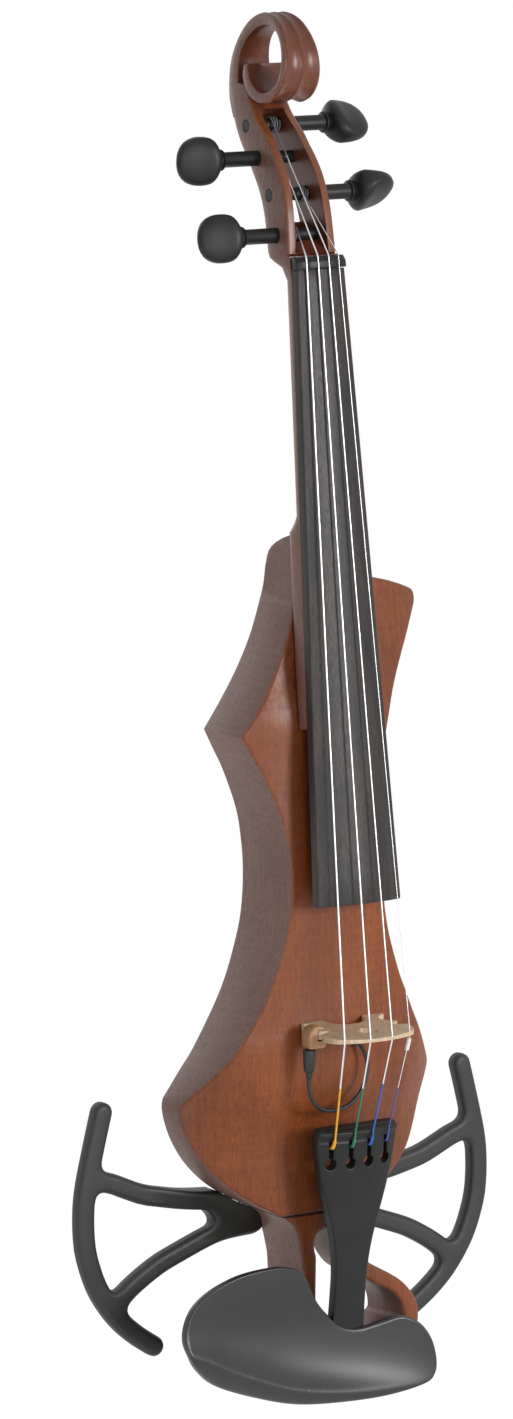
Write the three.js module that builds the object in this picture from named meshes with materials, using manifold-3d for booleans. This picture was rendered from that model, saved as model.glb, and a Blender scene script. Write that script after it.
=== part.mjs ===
// Electric violin with an asymmetric carved body, an open ring scroll and two side wings.
// Millimetres. The back face lies on the plane Y = 0 and the front looks along -Y,
// +Z runs along the body to the scroll and +X is the treble side.
// The origin is on the back face, straight behind the bridge.

import * as THREE from 'three'
import * as BufferGeometryUtils from 'three/addons/utils/BufferGeometryUtils.js'
import Module from 'manifold-3d'

const wasm = await Module()
wasm.setup()

// Driving dimensions

const DEG = Math.PI / 180
const HALF_TURN = 180 // degrees
const GAP = 0.3 // between pieces that touch
const RUN = 0.1 // clearance of a shaft that turns in its bore
const OVERRUN = 3 // of a cut past the surface it opens

const STRINGS = {
  length: 328, // nut to bridge
  tilt: 7.7 * DEG, // string plane to back face
  heightAtBridge: 72.4, // back face to the crown of the string plane
  arch: 42, // radius of nut, fingerboard and bridge tops
  nutSpread: 16.4,
  bridgeSpread: 33.5,
  names: ['g', 'd', 'a', 'e'],
  diameters: [0.84, 0.8, 0.76, 0.6],
  turns: 3,
  turnGap: 0.55, // between the turns on a peg
}

const BODY = {
  upperLength: 208.5, // bridge to the top of the heel
  lowerLength: 82.5, // bridge to the seam of the tail frame
  halfWidth: 66,
  crown: 42.6, // greatest thickness
  edgeDropShare: 0.62, // of the crown that is lost at the edge
  archPower: 3,
}

const BOARD_TO_BRIDGE = 58 // from the fingerboard's end to the bridge

const FINGERBOARD = {
  length: STRINGS.length - BOARD_TO_BRIDGE,
  nutWidth: 24.2,
  endWidth: 42.4,
  side: 4,
  nutClearance: 0.9,
  endClearance: 3.8,
  hollowDepth: 2.2,
}

const NECK = {
  backAtNut: 19.4, // string plane to the back of the shaft
  backAtHeel: 21,
  rootBack: 22,
  heelLength: 7,
  rootLength: 86,
  inset: 0.3, // of each side from the fingerboard's edge
}

const NUT = { thickness: 5.2, aboveBoard: 0.7 }

const PEGBOX = {
  length: 78.5,
  nutWidth: 25.2,
  topWidth: 19.2,
  cheek: 3.9,
  slotStart: 8,
  slotEnd: 70,
  depth: 19.2,
}

const VOLUTE = {
  centreAlong: 90,
  centreBack: 24.3,
  radius: 20.2, // outside, at the top of the ring
  wall: 5.6, // at the top of the ring
  topWidth: 11.4,
  eyeWidth: 21,
  flute: 1.1,
  rim: 1.3,
}

const PEG = {
  shaft: 2.7,
  shoulder: 3.3,
  collarRadius: 4.7,
  collarWidth: 2.6,
  neckLength: 16.4, // cheek to collar
  thumbLength: 23.4,
  thumbHalfWidth: 10.4,
  thumbHalfThick: 6.9,
}

const BRIDGE = {
  footHalfSpan: 20.5,
  halfWidth: 22,
  footThickness: 4.5,
  topThickness: 1.6,
  aboveStrings: 0.25,
}

const SLEEVE = { start: 1.5, length: 5.4, wall: 0.5, fit: 0.12 }

const TAIL = {
  length: 71, // seam to the end of the bar
  halfWidth: 50,
  depth: 29.6,
  seamDepth: 31.6,
}

const TAILPIECE = {
  start: 41, // bridge to its upper end
  length: 100,
  halfWidth: 20.2,
  frontHeight: 57.6, // back face to the crown of its upper end
  endHeight: 46,
  arch: 60,
  thickness: 5.2,
  ridge: 0.9,
  holeRadius: 2.4,
  slotWidth: 1.9,
  spread: 27.6,
}

const CHINREST = {
  halfSpan: 63.9,
  depth: 64.4,
  centreX: -21.9,
  centreBelow: 130.2, // bridge to the middle of the plate
  rimHeight: 54,
  thickness: 5,
  dish: 5,
  footWidth: 20,
  footDepth: 10,
  cork: 1.5,
}

const CLAMP = {
  barrelRadius: 2.9,
  rodRadius: 1.5,
  spacing: 14,
  plate: 1.8,
}

const WING = {
  reach: 107.6, // middle of the violin to the wing's outermost edge
  below: 81, // bridge to that edge's middle
  middle: 3, // back face to the bars' middle, backwards
  bar: 10.5,
  rib: 9.8,
  thickness: 9,
  rootDepth: 21,
}

const COVER = {
  halfWidth: 27.6,
  bottom: -64,
  top: -14,
  thickness: 2,
  ledge: 4.8,
  cavityDepth: 21,
  corner: 5,
  screwRadius: 1.3,
  screwHead: 2.2,
  screwLength: 9,
}

const CONTROL = {
  spacing: 22.8,
  along: -30,
  wellRadius: 9.6,
  wellDepth: 8.6,
  wellWall: 1.2,
  knobRadius: 7.6,
  knobHeight: 6.6,
  shaftRadius: 2.4,
  potRadius: 8,
  potHeight: 7,
}

const BATTERY = {
  length: 48.5,
  width: 26.5,
  thickness: 17.5,
  start: 14, // bridge to the lower wall of its bay
  slack: 0.8,
  lid: 2,
  clip: 4.5,
  hinge: 1.5,
  corner: 2,
  notch: 6,
  terminal: 2.6,
  smallTerminal: 2.9,
  largeTerminal: 3.7,
}

const PREAMP = { board: 1.6, partHeight: 7.5 }

const JACK = {
  radius: 5.6,
  bore: 3.3,
  length: 17.5,
  flange: 7,
  flangeWidth: 1.6,
  floor: 2,
  height: 10, // back face to its axis
  outlineShare: 0.5, // of the way up the treble side of the lower bout
}

const PICKUP = { width: 11.6, height: 9.4, depth: 10.4, slot: 5.2, round: 2 }
const LEAD = { diameter: 1.8, reliefLength: 12.4, reliefRadius: 2.7 }

// Shape helpers

const v2 = (x, y) => new THREE.Vector2(x, y)
const v3 = (x, y, z) => new THREE.Vector3(x, y, z)
const lerp = THREE.MathUtils.lerp
const clamp = THREE.MathUtils.clamp

/** A solid of plain positions and triangles. */
const manifoldOf = (vertProperties, triVerts) =>
  new wasm.Manifold(new wasm.Mesh({ numProp: 3, vertProperties, triVerts }))

/** A closed mesh as a solid that can be cut and joined. */
function solid(geometry) {
  const bare = geometry.index ? geometry.toNonIndexed() : geometry.clone()
  bare.deleteAttribute('normal')
  bare.deleteAttribute('uv')
  const merged = BufferGeometryUtils.mergeVertices(bare, 1e-4)
  const positions = Float32Array.from(merged.attributes.position.array)
  const triangles = Uint32Array.from(merged.index.array)
  let made = manifoldOf(positions, triangles)
  if (made.volume() < 0) {
    for (let i = 0; i < triangles.length; i += 3) {
      const first = triangles[i]
      triangles[i] = triangles[i + 1]
      triangles[i + 1] = first
    }
    made = manifoldOf(positions, triangles)
  }
  return made
}

/** A solid as a three.js geometry again. */
function geometryOf(made) {
  const mesh = made.getMesh()
  const positions = new Float32Array((mesh.vertProperties.length / mesh.numProp) * 3)
  for (let i = 0; i < positions.length / 3; i++) {
    for (let k = 0; k < 3; k++) positions[i * 3 + k] = mesh.vertProperties[i * mesh.numProp + k]
  }
  const geometry = new THREE.BufferGeometry()
  geometry.setAttribute('position', new THREE.BufferAttribute(positions, 3))
  geometry.setIndex(Array.from(mesh.triVerts))
  return geometry
}

/** The largest connected piece of a solid, without the slivers that a cut leaves. */
function mainBody(made) {
  const pieces = made.decompose()
  return pieces.reduce((best, piece) => (piece.volume() > best.volume() ? piece : best), pieces[0])
}

/** Points along a smooth curve through a table of places. */
function through(points, steps) {
  return new THREE.SplineCurve(points).getSpacedPoints(steps)
}

/** A value read from a table of [place, value] pairs, smooth between them. */
function profile(table, place) {
  const rows = [...table].sort((one, other) => one[0] - other[0])
  if (place <= rows[0][0]) return rows[0][1]
  const last = rows.length - 1
  if (place >= rows[last][0]) return rows[last][1]
  const i = rows.findIndex((row) => row[0] > place) - 1
  const slope = (k) => {
    const a = rows[Math.max(k - 1, 0)]
    const b = rows[Math.min(k + 1, last)]
    return (b[1] - a[1]) / (b[0] - a[0])
  }
  const span = rows[i + 1][0] - rows[i][0]
  const t = (place - rows[i][0]) / span
  const t2 = t * t
  const t3 = t2 * t
  return (
    (2 * t3 - 3 * t2 + 1) * rows[i][1] +
    (t3 - 2 * t2 + t) * span * slope(i) +
    (3 * t2 - 2 * t3) * rows[i + 1][1] +
    (t3 - t2) * span * slope(i + 1)
  )
}

/** An outline in X and Y, given a depth along Z. */
const extruded = (outline, depth) =>
  new THREE.ExtrudeGeometry(new THREE.Shape(outline), { depth, bevelEnabled: false })

/** An outline in X and Z, extruded from one Y to another. */
function acrossY(outline, fromY, toY) {
  const geometry = extruded(outline, toY - fromY)
  geometry.rotateX(Math.PI / 2)
  geometry.translate(0, toY, 0)
  return geometry
}

/** An outline in Y and Z, extruded evenly about the plane X = 0. */
function acrossX(outline, width) {
  const geometry = extruded(outline, width)
  geometry.applyMatrix4(new THREE.Matrix4().makeBasis(v3(0, 1, 0), v3(0, 0, 1), v3(1, 0, 0)))
  geometry.translate(-width / 2, 0, 0)
  return geometry
}

/** A block with its corners at two points. */
function block(low, high) {
  const size = high.clone().sub(low)
  const geometry = new THREE.BoxGeometry(size.x, size.y, size.z)
  const middle = low.clone().add(high).multiplyScalar(0.5)
  geometry.translate(middle.x, middle.y, middle.z)
  return geometry
}

/** A rod between two points. */
function rod(from, to, radius, sides = 24, endRadius = radius) {
  const way = to.clone().sub(from)
  const geometry = new THREE.CylinderGeometry(endRadius, radius, way.length(), sides)
  const turn = new THREE.Quaternion().setFromUnitVectors(v3(0, 1, 0), way.clone().normalize())
  geometry.applyQuaternion(turn)
  const middle = from.clone().add(to).multiplyScalar(0.5)
  geometry.translate(middle.x, middle.y, middle.z)
  return geometry
}

/** A turned piece about an axis through start, from [along, radius] pairs that begin and end on it. */
function turned(start, direction, pairs, sides = 24) {
  const geometry = new THREE.LatheGeometry(pairs.map(([along, radius]) => v2(radius, along)), sides)
  const turn = new THREE.Quaternion().setFromUnitVectors(v3(0, 1, 0), direction.clone().normalize())
  geometry.applyQuaternion(turn)
  geometry.translate(start.x, start.y, start.z)
  return geometry
}

/** A skin stretched over rings of equally many points, closed by a flat cap at each end. */
function loft(rings) {
  const count = rings[0].length
  const positions = rings.flat().flatMap((point) => [point.x, point.y, point.z])
  const triangles = []
  for (let r = 0; r + 1 < rings.length; r++) {
    for (let i = 0; i < count; i++) {
      const a = r * count + i
      const b = r * count + ((i + 1) % count)
      triangles.push(a, b, b + count, a, b + count, a + count)
    }
  }
  const capAt = (ring, offset, flip) => {
    const normal = v3(0, 0, 0)
    const first = ring[0]
    for (let i = 1; i + 1 < count; i++) {
      const one = ring[i].clone().sub(first)
      normal.add(one.cross(ring[i + 1].clone().sub(first)))
    }
    const turn = new THREE.Quaternion().setFromUnitVectors(normal.normalize(), v3(0, 0, 1))
    const flat = ring.map((point) => {
      const turnedPoint = point.clone().applyQuaternion(turn)
      return v2(turnedPoint.x, turnedPoint.y)
    })
    for (const face of THREE.ShapeUtils.triangulateShape(flat, [])) {
      const [a, b, c] = face.map((i) => i + offset)
      triangles.push(...(flip ? [c, b, a] : [a, b, c]))
    }
  }
  capAt(rings[0], 0, true)
  capAt(rings[rings.length - 1], (rings.length - 1) * count, false)
  const geometry = new THREE.BufferGeometry()
  geometry.setAttribute('position', new THREE.Float32BufferAttribute(positions, 3))
  geometry.setIndex(triangles)
  return geometry
}

/** A closed slab over a grid in X and Z, between a front and a back height in Y. */
function slab(xs, zs, frontAt, backAt) {
  const positions = []
  for (const heightAt of [frontAt, backAt]) {
    for (const z of zs) for (const x of xs) positions.push(x, heightAt(x, z), z)
  }
  const nx = xs.length
  const nz = zs.length
  const layer = nx * nz
  const triangles = []
  const quad = (a, b, c, d) => triangles.push(a, b, c, a, c, d)
  for (let j = 0; j + 1 < nz; j++) {
    for (let i = 0; i + 1 < nx; i++) {
      const a = j * nx + i
      quad(a, a + 1, a + 1 + nx, a + nx)
      quad(layer + a, layer + a + nx, layer + a + nx + 1, layer + a + 1)
    }
  }
  const wall = (loop) => {
    for (let i = 0; i < loop.length; i++) {
      const a = loop[i]
      const b = loop[(i + 1) % loop.length]
      quad(b, a, a + layer, b + layer)
    }
  }
  const edge = []
  for (let i = 0; i < nx; i++) edge.push(i)
  for (let j = 1; j < nz; j++) edge.push(j * nx + nx - 1)
  for (let i = nx - 2; i >= 0; i--) edge.push((nz - 1) * nx + i)
  for (let j = nz - 2; j > 0; j--) edge.push(j * nx)
  wall(edge)
  const geometry = new THREE.BufferGeometry()
  geometry.setAttribute('position', new THREE.Float32BufferAttribute(positions, 3))
  geometry.setIndex(triangles)
  return geometry
}

/** Evenly spaced numbers from one value to another. */
function spread(from, to, steps) {
  return Array.from({ length: steps + 1 }, (_, i) => lerp(from, to, i / steps))
}

/** A closed outline moved outwards by a distance. */
function grown(outline, distance) {
  const turn = THREE.ShapeUtils.isClockWise(outline) ? -1 : 1
  return outline.map((point, i) => {
    const before = outline[(i + outline.length - 1) % outline.length]
    const after = outline[(i + 1) % outline.length]
    const into = point.clone().sub(before).normalize()
    const away = after.clone().sub(point).normalize()
    const normal = v2(into.y + away.y, -into.x - away.x).normalize()
    const reach = 1 / Math.max(normal.dot(v2(away.y, -away.x)), 0.5)
    return point.clone().addScaledVector(normal, distance * turn * reach)
  })
}

/** A rectangle with round corners, centred on a point. */
function roundedRectangle(centre, halfWidth, halfHeight, corner, steps = 4) {
  const points = []
  const corners = [
    [1, 1],
    [-1, 1],
    [-1, -1],
    [1, -1],
  ]
  corners.forEach(([sx, sy], quarter) => {
    for (let i = 0; i <= steps; i++) {
      const angle = (quarter + i / steps) * 90 * DEG
      points.push(
        v2(
          centre.x + sx * (halfWidth - corner) + corner * Math.cos(angle),
          centre.y + sy * (halfHeight - corner) + corner * Math.sin(angle)
        )
      )
    }
  })
  return points
}

/** A round-sided tube along a curve. */
function tube(curve, radius, sides, steps) {
  const ring = Array.from({ length: sides }, (_, i) => {
    const angle = (i / sides) * 360 * DEG
    return v2(radius * Math.cos(angle), radius * Math.sin(angle))
  })
  const options = { extrudePath: curve, steps, bevelEnabled: false }
  return new THREE.ExtrudeGeometry(new THREE.Shape(ring), options)
}

// Materials

const finish = (color, roughness, metalness = 0) =>
  new THREE.MeshStandardMaterial({ color, roughness, metalness })
const stainedMaple = finish(0x8c4b2d, 0.35)
const ebony = finish(0x2a2826, 0.45)
const satinBlack = finish(0x252525, 0.5)
const matteBlack = finish(0x3c3d3b, 0.8)
const bridgeMaple = finish(0xd8b98c, 0.6)
const pickupWood = finish(0xcfa878, 0.55)
const steel = finish(0xc8c8c6, 0.28, 1)
const nickel = finish(0xb9b9b7, 0.3, 1)
const cordBlack = finish(0x1c1c1c, 0.6)
const corkBrown = finish(0x9a7348, 0.9)
const boardGreen = finish(0x1f5a3a, 0.5)
const cellGrey = finish(0x55585c, 0.4, 0.3)
const clearSleeve = finish(0xf0efe8, 0.4)

// Scene graph

const violin = new THREE.Group()
const nutPoint = v3(
  0,
  STRINGS.length * Math.sin(STRINGS.tilt) - STRINGS.heightAtBridge,
  STRINGS.length * Math.cos(STRINGS.tilt)
)

// Neck, board, nut, head and pegs sit in a group whose Z follows the strings and whose origin is the nut.
const neckGroup = new THREE.Group()
neckGroup.position.copy(nutPoint)
neckGroup.rotation.x = -STRINGS.tilt
neckGroup.updateMatrix()
violin.add(neckGroup)

/** Adds a named mesh to a group. */
function add(group, name, shape, material) {
  const geometry = shape instanceof THREE.BufferGeometry ? shape : geometryOf(shape)
  const mesh = new THREE.Mesh(geometry, material)
  mesh.name = name
  group.add(mesh)
  return mesh
}

/** A point of the neck group, in the violin's own frame. */
const fromNeck = (point) => point.clone().applyMatrix4(neckGroup.matrix)

// Body

/** A place on the body, from shares of its half width and of its length above or below the bridge. */
const bodyPlace = ([x, z]) => v2(x * BODY.halfWidth, z * (z < 0 ? BODY.lowerLength : BODY.upperLength))

const bassHeelShares = [
  [-0.098, 0.998],
  [-0.121, 0.99],
  [-0.153, 0.974],
  [-0.184, 0.934],
  [-0.205, 0.897],
  [-0.267, 0.833],
  [-0.326, 0.785],
  [-0.421, 0.727],
  [-0.538, 0.669],
  [-0.662, 0.614],
]
const bassWaistShares = [
  [-0.662, 0.614],
  [-0.586, 0.567],
  [-0.517, 0.525],
  [-0.417, 0.442],
  [-0.376, 0.369],
  [-0.364, 0.3],
  [-0.382, 0.225],
  [-0.429, 0.163],
  [-0.506, 0.092],
  [-0.6, 0.032],
  [-0.756, -0.124],
  [-0.859, -0.23],
  [-0.988, -0.367],
]
const bassBoutShares = [
  [-0.988, -0.367],
  [-0.998, -0.418],
  [-0.973, -0.509],
  [-0.92, -0.612],
  [-0.836, -0.718],
  [-0.727, -0.812],
  [-0.63, -0.874],
  [-0.503, -0.939],
  [-0.438, -0.965],
  [-0.353, -1],
]
const trebleBoutShares = [
  [0.32, -1],
  [0.41, -0.93],
  [0.491, -0.852],
  [0.57, -0.793],
  [0.65, -0.715],
  [0.71, -0.61],
  [0.742, -0.5],
  [0.768, -0.41],
  [0.81, -0.32],
  [0.822, -0.28],
  [0.806, -0.245],
]
const trebleWaistShares = [
  [0.806, -0.245],
  [0.7, -0.083],
  [0.622, 0.014],
  [0.554, 0.059],
  [0.489, 0.104],
  [0.395, 0.193],
  [0.347, 0.29],
  [0.335, 0.38],
  [0.354, 0.49],
  [0.406, 0.587],
  [0.48, 0.666],
  [0.613, 0.742],
  [0.693, 0.786],
  [0.775, 0.834],
]
const trebleShoulderShares = [
  [0.775, 0.834],
  [0.803, 0.854],
  [0.79, 0.874],
  [0.734, 0.884],
  [0.557, 0.903],
  [0.392, 0.915],
  [0.27, 0.919],
  [0.205, 0.928],
]
const trebleHeelShares = [
  [0.205, 0.928],
  [0.18, 0.942],
  [0.153, 0.974],
  [0.121, 0.99],
  [0.098, 0.998],
]
const bodyEdges = [
  [bassHeelShares, 14],
  [bassWaistShares, 20],
  [bassBoutShares, 12],
  [trebleBoutShares, 12],
  [trebleWaistShares, 20],
  [trebleShoulderShares, 10],
  [trebleHeelShares, 4],
]
const bodyOutline = bodyEdges.flatMap(([shares, steps]) => {
  const points = through(shares.map(bodyPlace), steps)
  return shares === bassBoutShares || shares === trebleHeelShares ? points : points.slice(0, -1)
})
const trebleBoutPoints = through(trebleBoutShares.map(bodyPlace), 28)

/** Share of the crown's thickness along the body, against the share of its length. */
const crownShares = [
  [1, 0.582],
  [0.887, 0.636],
  [0.767, 0.714],
  [0.724, 0.754],
  [0.686, 0.808],
  [0.65, 0.854],
  [0.614, 0.869],
  [0.566, 0.876],
  [0.48, 0.899],
  [0.36, 0.946],
  [0.096, 0.953],
  [0.038, 0.967],
  [-0.06, 1],
  [-0.242, 0.993],
  [-0.364, 0.951],
  [-0.485, 0.878],
  [-0.606, 0.826],
  [-0.727, 0.805],
  [-1, TAIL.seamDepth / BODY.crown],
]

/** Y of the carved front at a place on the body. */
function frontOfBody(x, z) {
  const share = z < 0 ? z / BODY.lowerLength : z / BODY.upperLength
  const reach = Math.min(Math.abs(x) / BODY.halfWidth, 1)
  const fall = BODY.edgeDropShare * Math.pow(reach, BODY.archPower)
  return -BODY.crown * profile(crownShares, share) * (1 - fall)
}

const archHalf = [0.25, 0.46, 0.62, 0.75, 0.86, 1.02]
const archShares = [...archHalf.map((share) => -share).reverse(), 0, ...archHalf]
const archColumns = archShares.map((share) => share * BODY.halfWidth)
const rollStart = crownShares[6][0] * BODY.upperLength
const archRows = [
  ...spread(-BODY.lowerLength - OVERRUN, 0, 7).slice(0, -1),
  ...spread(0, rollStart, 4).slice(0, -1),
  ...spread(rollStart, BODY.upperLength + OVERRUN, 7),
]

/** The carved front and everything behind it, moved by a lift towards the front. */
function underFront(lift) {
  return solid(slab(archColumns, archRows, (x, z) => frontOfBody(x, z) - lift, () => OVERRUN))
}

// Fingerboard, in the neck group

const boardShare = (along) => clamp(-along / FINGERBOARD.length, -0.1, 1)
const boardHalf = (along) => lerp(FINGERBOARD.nutWidth, FINGERBOARD.endWidth, boardShare(along)) / 2
const archDrop = (half) => STRINGS.arch - Math.sqrt(STRINGS.arch ** 2 - half ** 2)
const boardCrown = (along) => lerp(FINGERBOARD.nutClearance, FINGERBOARD.endClearance, boardShare(along))
const boardBackAtNut = FINGERBOARD.nutClearance + archDrop(FINGERBOARD.nutWidth / 2) + FINGERBOARD.side
const boardBackAtEnd = FINGERBOARD.endClearance + archDrop(FINGERBOARD.endWidth / 2) + FINGERBOARD.side
const boardBack = (along) => lerp(boardBackAtNut, boardBackAtEnd, boardShare(along))

function fingerboardSolid() {
  const rings = [-GAP, -FINGERBOARD.length].map((along) => {
    const half = boardHalf(along)
    const edge = spread(-half, half, 12).map((x) => v3(x, boardCrown(along) + archDrop(Math.abs(x)), along))
    return [v3(-half, boardBack(along), along), ...edge, v3(half, boardBack(along), along)]
  })
  const rootEnd = neckRootStart - NECK.rootLength
  const hollowRadius = boardHalf(-FINGERBOARD.length) ** 2 / (2 * FINGERBOARD.hollowDepth)
  const deepest = boardBack(-FINGERBOARD.length) - FINGERBOARD.hollowDepth
  const hollow = rod(
    v3(0, deepest + hollowRadius, -FINGERBOARD.length - OVERRUN),
    v3(0, boardBack(rootEnd) + hollowRadius - GAP, rootEnd - OVERRUN),
    hollowRadius,
    96
  )
  return solid(loft(rings)).subtract(solid(hollow))
}

// Neck with its root, pegbox and scroll, one carved piece

const neckRootStart = (BODY.upperLength - nutPoint.z) / Math.cos(STRINGS.tilt) + NECK.heelLength
const neckRootEnd = neckRootStart - NECK.rootLength

/** Shares of the pegbox's length, with its front and back as shares of its depth. */
const cheekFrontShares = [
  [0.08, 0.43],
  [0.29, 0.43],
  [0.37, 0.46],
  [0.456, 0.53],
  [0.535, 0.645],
  [0.61, 0.81],
  [0.676, 0.995],
  [0.757, 1.21],
  [0.834, 1.49],
  [0.904, 1.67],
  [1, 1.82],
]
const cheekBackShares = [
  [0.02, 1.1],
  [0.06, 1.3],
  [0.1, 1.4],
  [0.18, 1.435],
  [0.316, 1.505],
  [0.427, 1.64],
  [0.511, 1.81],
  [0.623, 2.08],
  [0.748, 2.39],
  [0.876, 2.563],
  [1, 2.628],
]
const cheekFront = (along) => PEGBOX.depth * profile(cheekFrontShares, along / PEGBOX.length)
const cheekBack = (along) => PEGBOX.depth * profile(cheekBackShares, along / PEGBOX.length)
const headHalf = (along) => lerp(PEGBOX.nutWidth, PEGBOX.topWidth, clamp(along / PEGBOX.length, 0, 1)) / 2

/** One cross-section of the neck: flat in front, and from half round to nearly square behind. */
function neckRing(along, half, front, back, squareness) {
  const steps = 14
  const power = lerp(1, 0.22, squareness)
  return spread(0, 1, steps).map((share) => {
    const angle = share * 180 * DEG
    const side = Math.cos(angle)
    const x = half * Math.sign(side) * Math.pow(Math.abs(side), power)
    const y = front + (back - front) * Math.pow(Math.max(Math.sin(angle), 0), power)
    return v3(x, y, along)
  })
}

/** Sections of the neck from the root to the top of the pegbox, grown for the cut that seats it. */
function neckRings(extra = 0, rootOnly = false) {
  const rings = []
  const rootShares = rootOnly ? [0, 0.33, 0.66, 1.04] : [0, 0.33, 0.66, 1]
  for (const share of rootShares) {
    const along = lerp(neckRootEnd - extra, neckRootStart, share)
    const half = boardHalf(along) - NECK.inset + extra
    const ring = neckRing(along, half, boardBack(along) + GAP, NECK.rootBack + extra, 0.85)
    rings.push(rootOnly ? [v3(half, -BODY.crown, along), ...ring, v3(-half, -BODY.crown, along)] : ring)
  }
  if (rootOnly) return rings
  const shaftStart = neckRootStart + NECK.heelLength
  rings.push(
    neckRing(
      lerp(neckRootStart, shaftStart, 0.5),
      boardHalf(neckRootStart) - NECK.inset,
      boardBack(neckRootStart) + GAP,
      lerp(NECK.backAtHeel, NECK.rootBack, 0.6),
      0.4
    )
  )
  for (const share of [0, 0.33, 0.66, 0.96]) {
    const along = lerp(shaftStart, 0, share)
    const back = lerp(NECK.backAtHeel, NECK.backAtNut, share)
    rings.push(neckRing(along, boardHalf(along) - NECK.inset, boardBack(along) + GAP, back, 0))
  }
  const seat = boardBackAtNut + GAP
  const seatEnd = NUT.thickness + GAP
  const chin = [
    [0.02, 0.25],
    [0.05, 0.6],
    [0.0745, 0.8],
  ]
  for (const [share, squareness] of chin) {
    const along = share * PEGBOX.length
    rings.push(neckRing(along, headHalf(along), seat, cheekBack(along), squareness))
  }
  rings.push(neckRing(seatEnd + GAP, headHalf(seatEnd), seat, cheekBack(seatEnd), 0.85))
  rings.push(neckRing(seatEnd + 2 * GAP, headHalf(seatEnd), cheekFront(seatEnd), cheekBack(seatEnd), 0.88))
  const boxShares = [0.13, 0.22, 0.31, 0.4, 0.49, 0.57, 0.65, 0.74, 0.83, 0.92, 1]
  for (const share of boxShares) {
    const along = share * PEGBOX.length
    rings.push(neckRing(along, headHalf(along), cheekFront(along), cheekBack(along), 0.9))
  }
  return rings
}

/** Outer and inner radius of the ring as shares of its radius at the top, by degrees from the back. */
const voluteOuterShares = [
  [-44, 1.62],
  [-30, 1.475],
  [-17, 1.345],
  [0, 1.228],
  [30, 1.094],
  [60, 1.03],
  [90, 1],
  [120, 0.972],
  [150, 0.95],
  [180, 0.97],
  [210, 1.0],
  [240, 0.968],
  [270, 0.912],
  [300, 0.825],
  [330, 0.715],
  [354, 0.585],
]
/** Wall of the ring as shares of its wall at the top. */
const voluteWallShares = [
  [-44, 1.7],
  [-30, 1.6],
  [0, 1.2],
  [30, 1.02],
  [60, 1.02],
  [90, 1],
  [120, 0.8],
  [150, 0.6],
  [180, 0.56],
  [210, 0.6],
  [240, 0.72],
  [270, 0.88],
  [300, 1.05],
  [330, 0.95],
  [354, 0.62],
]
/** Width of the ring from its narrowest, 0, to the eye's, 1. */
const voluteWidthShares = [
  [-44, 0.78],
  [-20, 0.66],
  [0, 0.52],
  [45, 0.13],
  [90, 0],
  [135, 0.28],
  [180, 0.66],
  [225, 0.88],
  [270, 1],
  [310, 1],
  [354, 0.86],
]

function voluteSolid() {
  const rings = []
  const startAngle = -44
  const endAngle = 354
  const steps = 32
  for (const angle of spread(startAngle, endAngle, steps)) {
    const outer = VOLUTE.radius * profile(voluteOuterShares, angle)
    const inner = outer - VOLUTE.wall * profile(voluteWallShares, angle)
    const half = lerp(VOLUTE.topWidth, VOLUTE.eyeWidth, profile(voluteWidthShares, angle)) / 2
    const land = half - VOLUTE.rim
    const section = [
      [-half, inner],
      [-half, outer - VOLUTE.rim / 2],
      [-land, outer],
      [-land * 0.76, outer - VOLUTE.flute * 0.8],
      [-land * 0.5, outer - VOLUTE.flute],
      [-land * 0.22, outer - VOLUTE.flute * 0.7],
      [0, outer],
      [land * 0.22, outer - VOLUTE.flute * 0.7],
      [land * 0.5, outer - VOLUTE.flute],
      [land * 0.76, outer - VOLUTE.flute * 0.8],
      [land, outer],
      [half, outer - VOLUTE.rim / 2],
      [half, inner],
    ]
    const back = Math.cos(angle * DEG)
    const along = Math.sin(angle * DEG)
    const place = ([x, radius]) =>
      v3(x, VOLUTE.centreBack + radius * back, VOLUTE.centreAlong + radius * along)
    rings.push(section.map(place))
  }
  return solid(loft(rings))
}

/** Pegs from the nut up: string, place along the head, side of the thumb-piece and turn. */
const pegTable = [
  { string: 0, alongShare: 0.195, backShare: 0.9, side: -1, turn: 0 },
  { string: 3, alongShare: 0.414, backShare: 1.104, side: 1, turn: 55 * DEG },
  { string: 1, alongShare: 0.622, backShare: 1.52, side: -1, turn: 8 * DEG },
  { string: 2, alongShare: 0.803, backShare: 1.917, side: 1, turn: -40 * DEG },
]
for (const peg of pegTable) {
  peg.along = peg.alongShare * PEGBOX.length
  peg.back = peg.backShare * PEGBOX.depth
}

function headSlotSolid() {
  const front = -OVERRUN
  const back = cheekBack(PEGBOX.length) + OVERRUN
  const depthAtTop = cheekBack(PEGBOX.slotEnd)
  const side = acrossX(
    [
      v2(front, PEGBOX.slotStart),
      v2(back, PEGBOX.slotStart + GAP),
      v2(back, PEGBOX.slotEnd * 0.83),
      v2(depthAtTop * 0.94, PEGBOX.slotEnd * 0.87),
      v2(depthAtTop * 0.83, PEGBOX.slotEnd * 0.97),
      v2(depthAtTop * 0.6, PEGBOX.slotEnd),
      v2(front, PEGBOX.slotEnd),
    ],
    PEGBOX.nutWidth
  )
  const taper = [
    v2(-headHalf(0) + PEGBOX.cheek, 0),
    v2(headHalf(0) - PEGBOX.cheek, 0),
    v2(headHalf(PEGBOX.length) - PEGBOX.cheek, PEGBOX.length),
    v2(-headHalf(PEGBOX.length) + PEGBOX.cheek, PEGBOX.length),
  ]
  return solid(side).intersect(solid(acrossY(taper, front - OVERRUN, back + OVERRUN)))
}

function neckSolid() {
  let made = solid(loft(neckRings())).add(voluteSolid()).subtract(headSlotSolid())
  for (const peg of pegTable) {
    const reach = PEGBOX.nutWidth
    const at = (x) => v3(x, peg.back, peg.along)
    const bore = rod(at(-reach), at(reach), PEG.shaft + RUN, 24)
    const wide = rod(at(0), at(peg.side * reach), PEG.shoulder + RUN, 24)
    made = made.subtract(solid(bore)).subtract(solid(wide))
  }
  return mainBody(made)
}

// Strings

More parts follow.
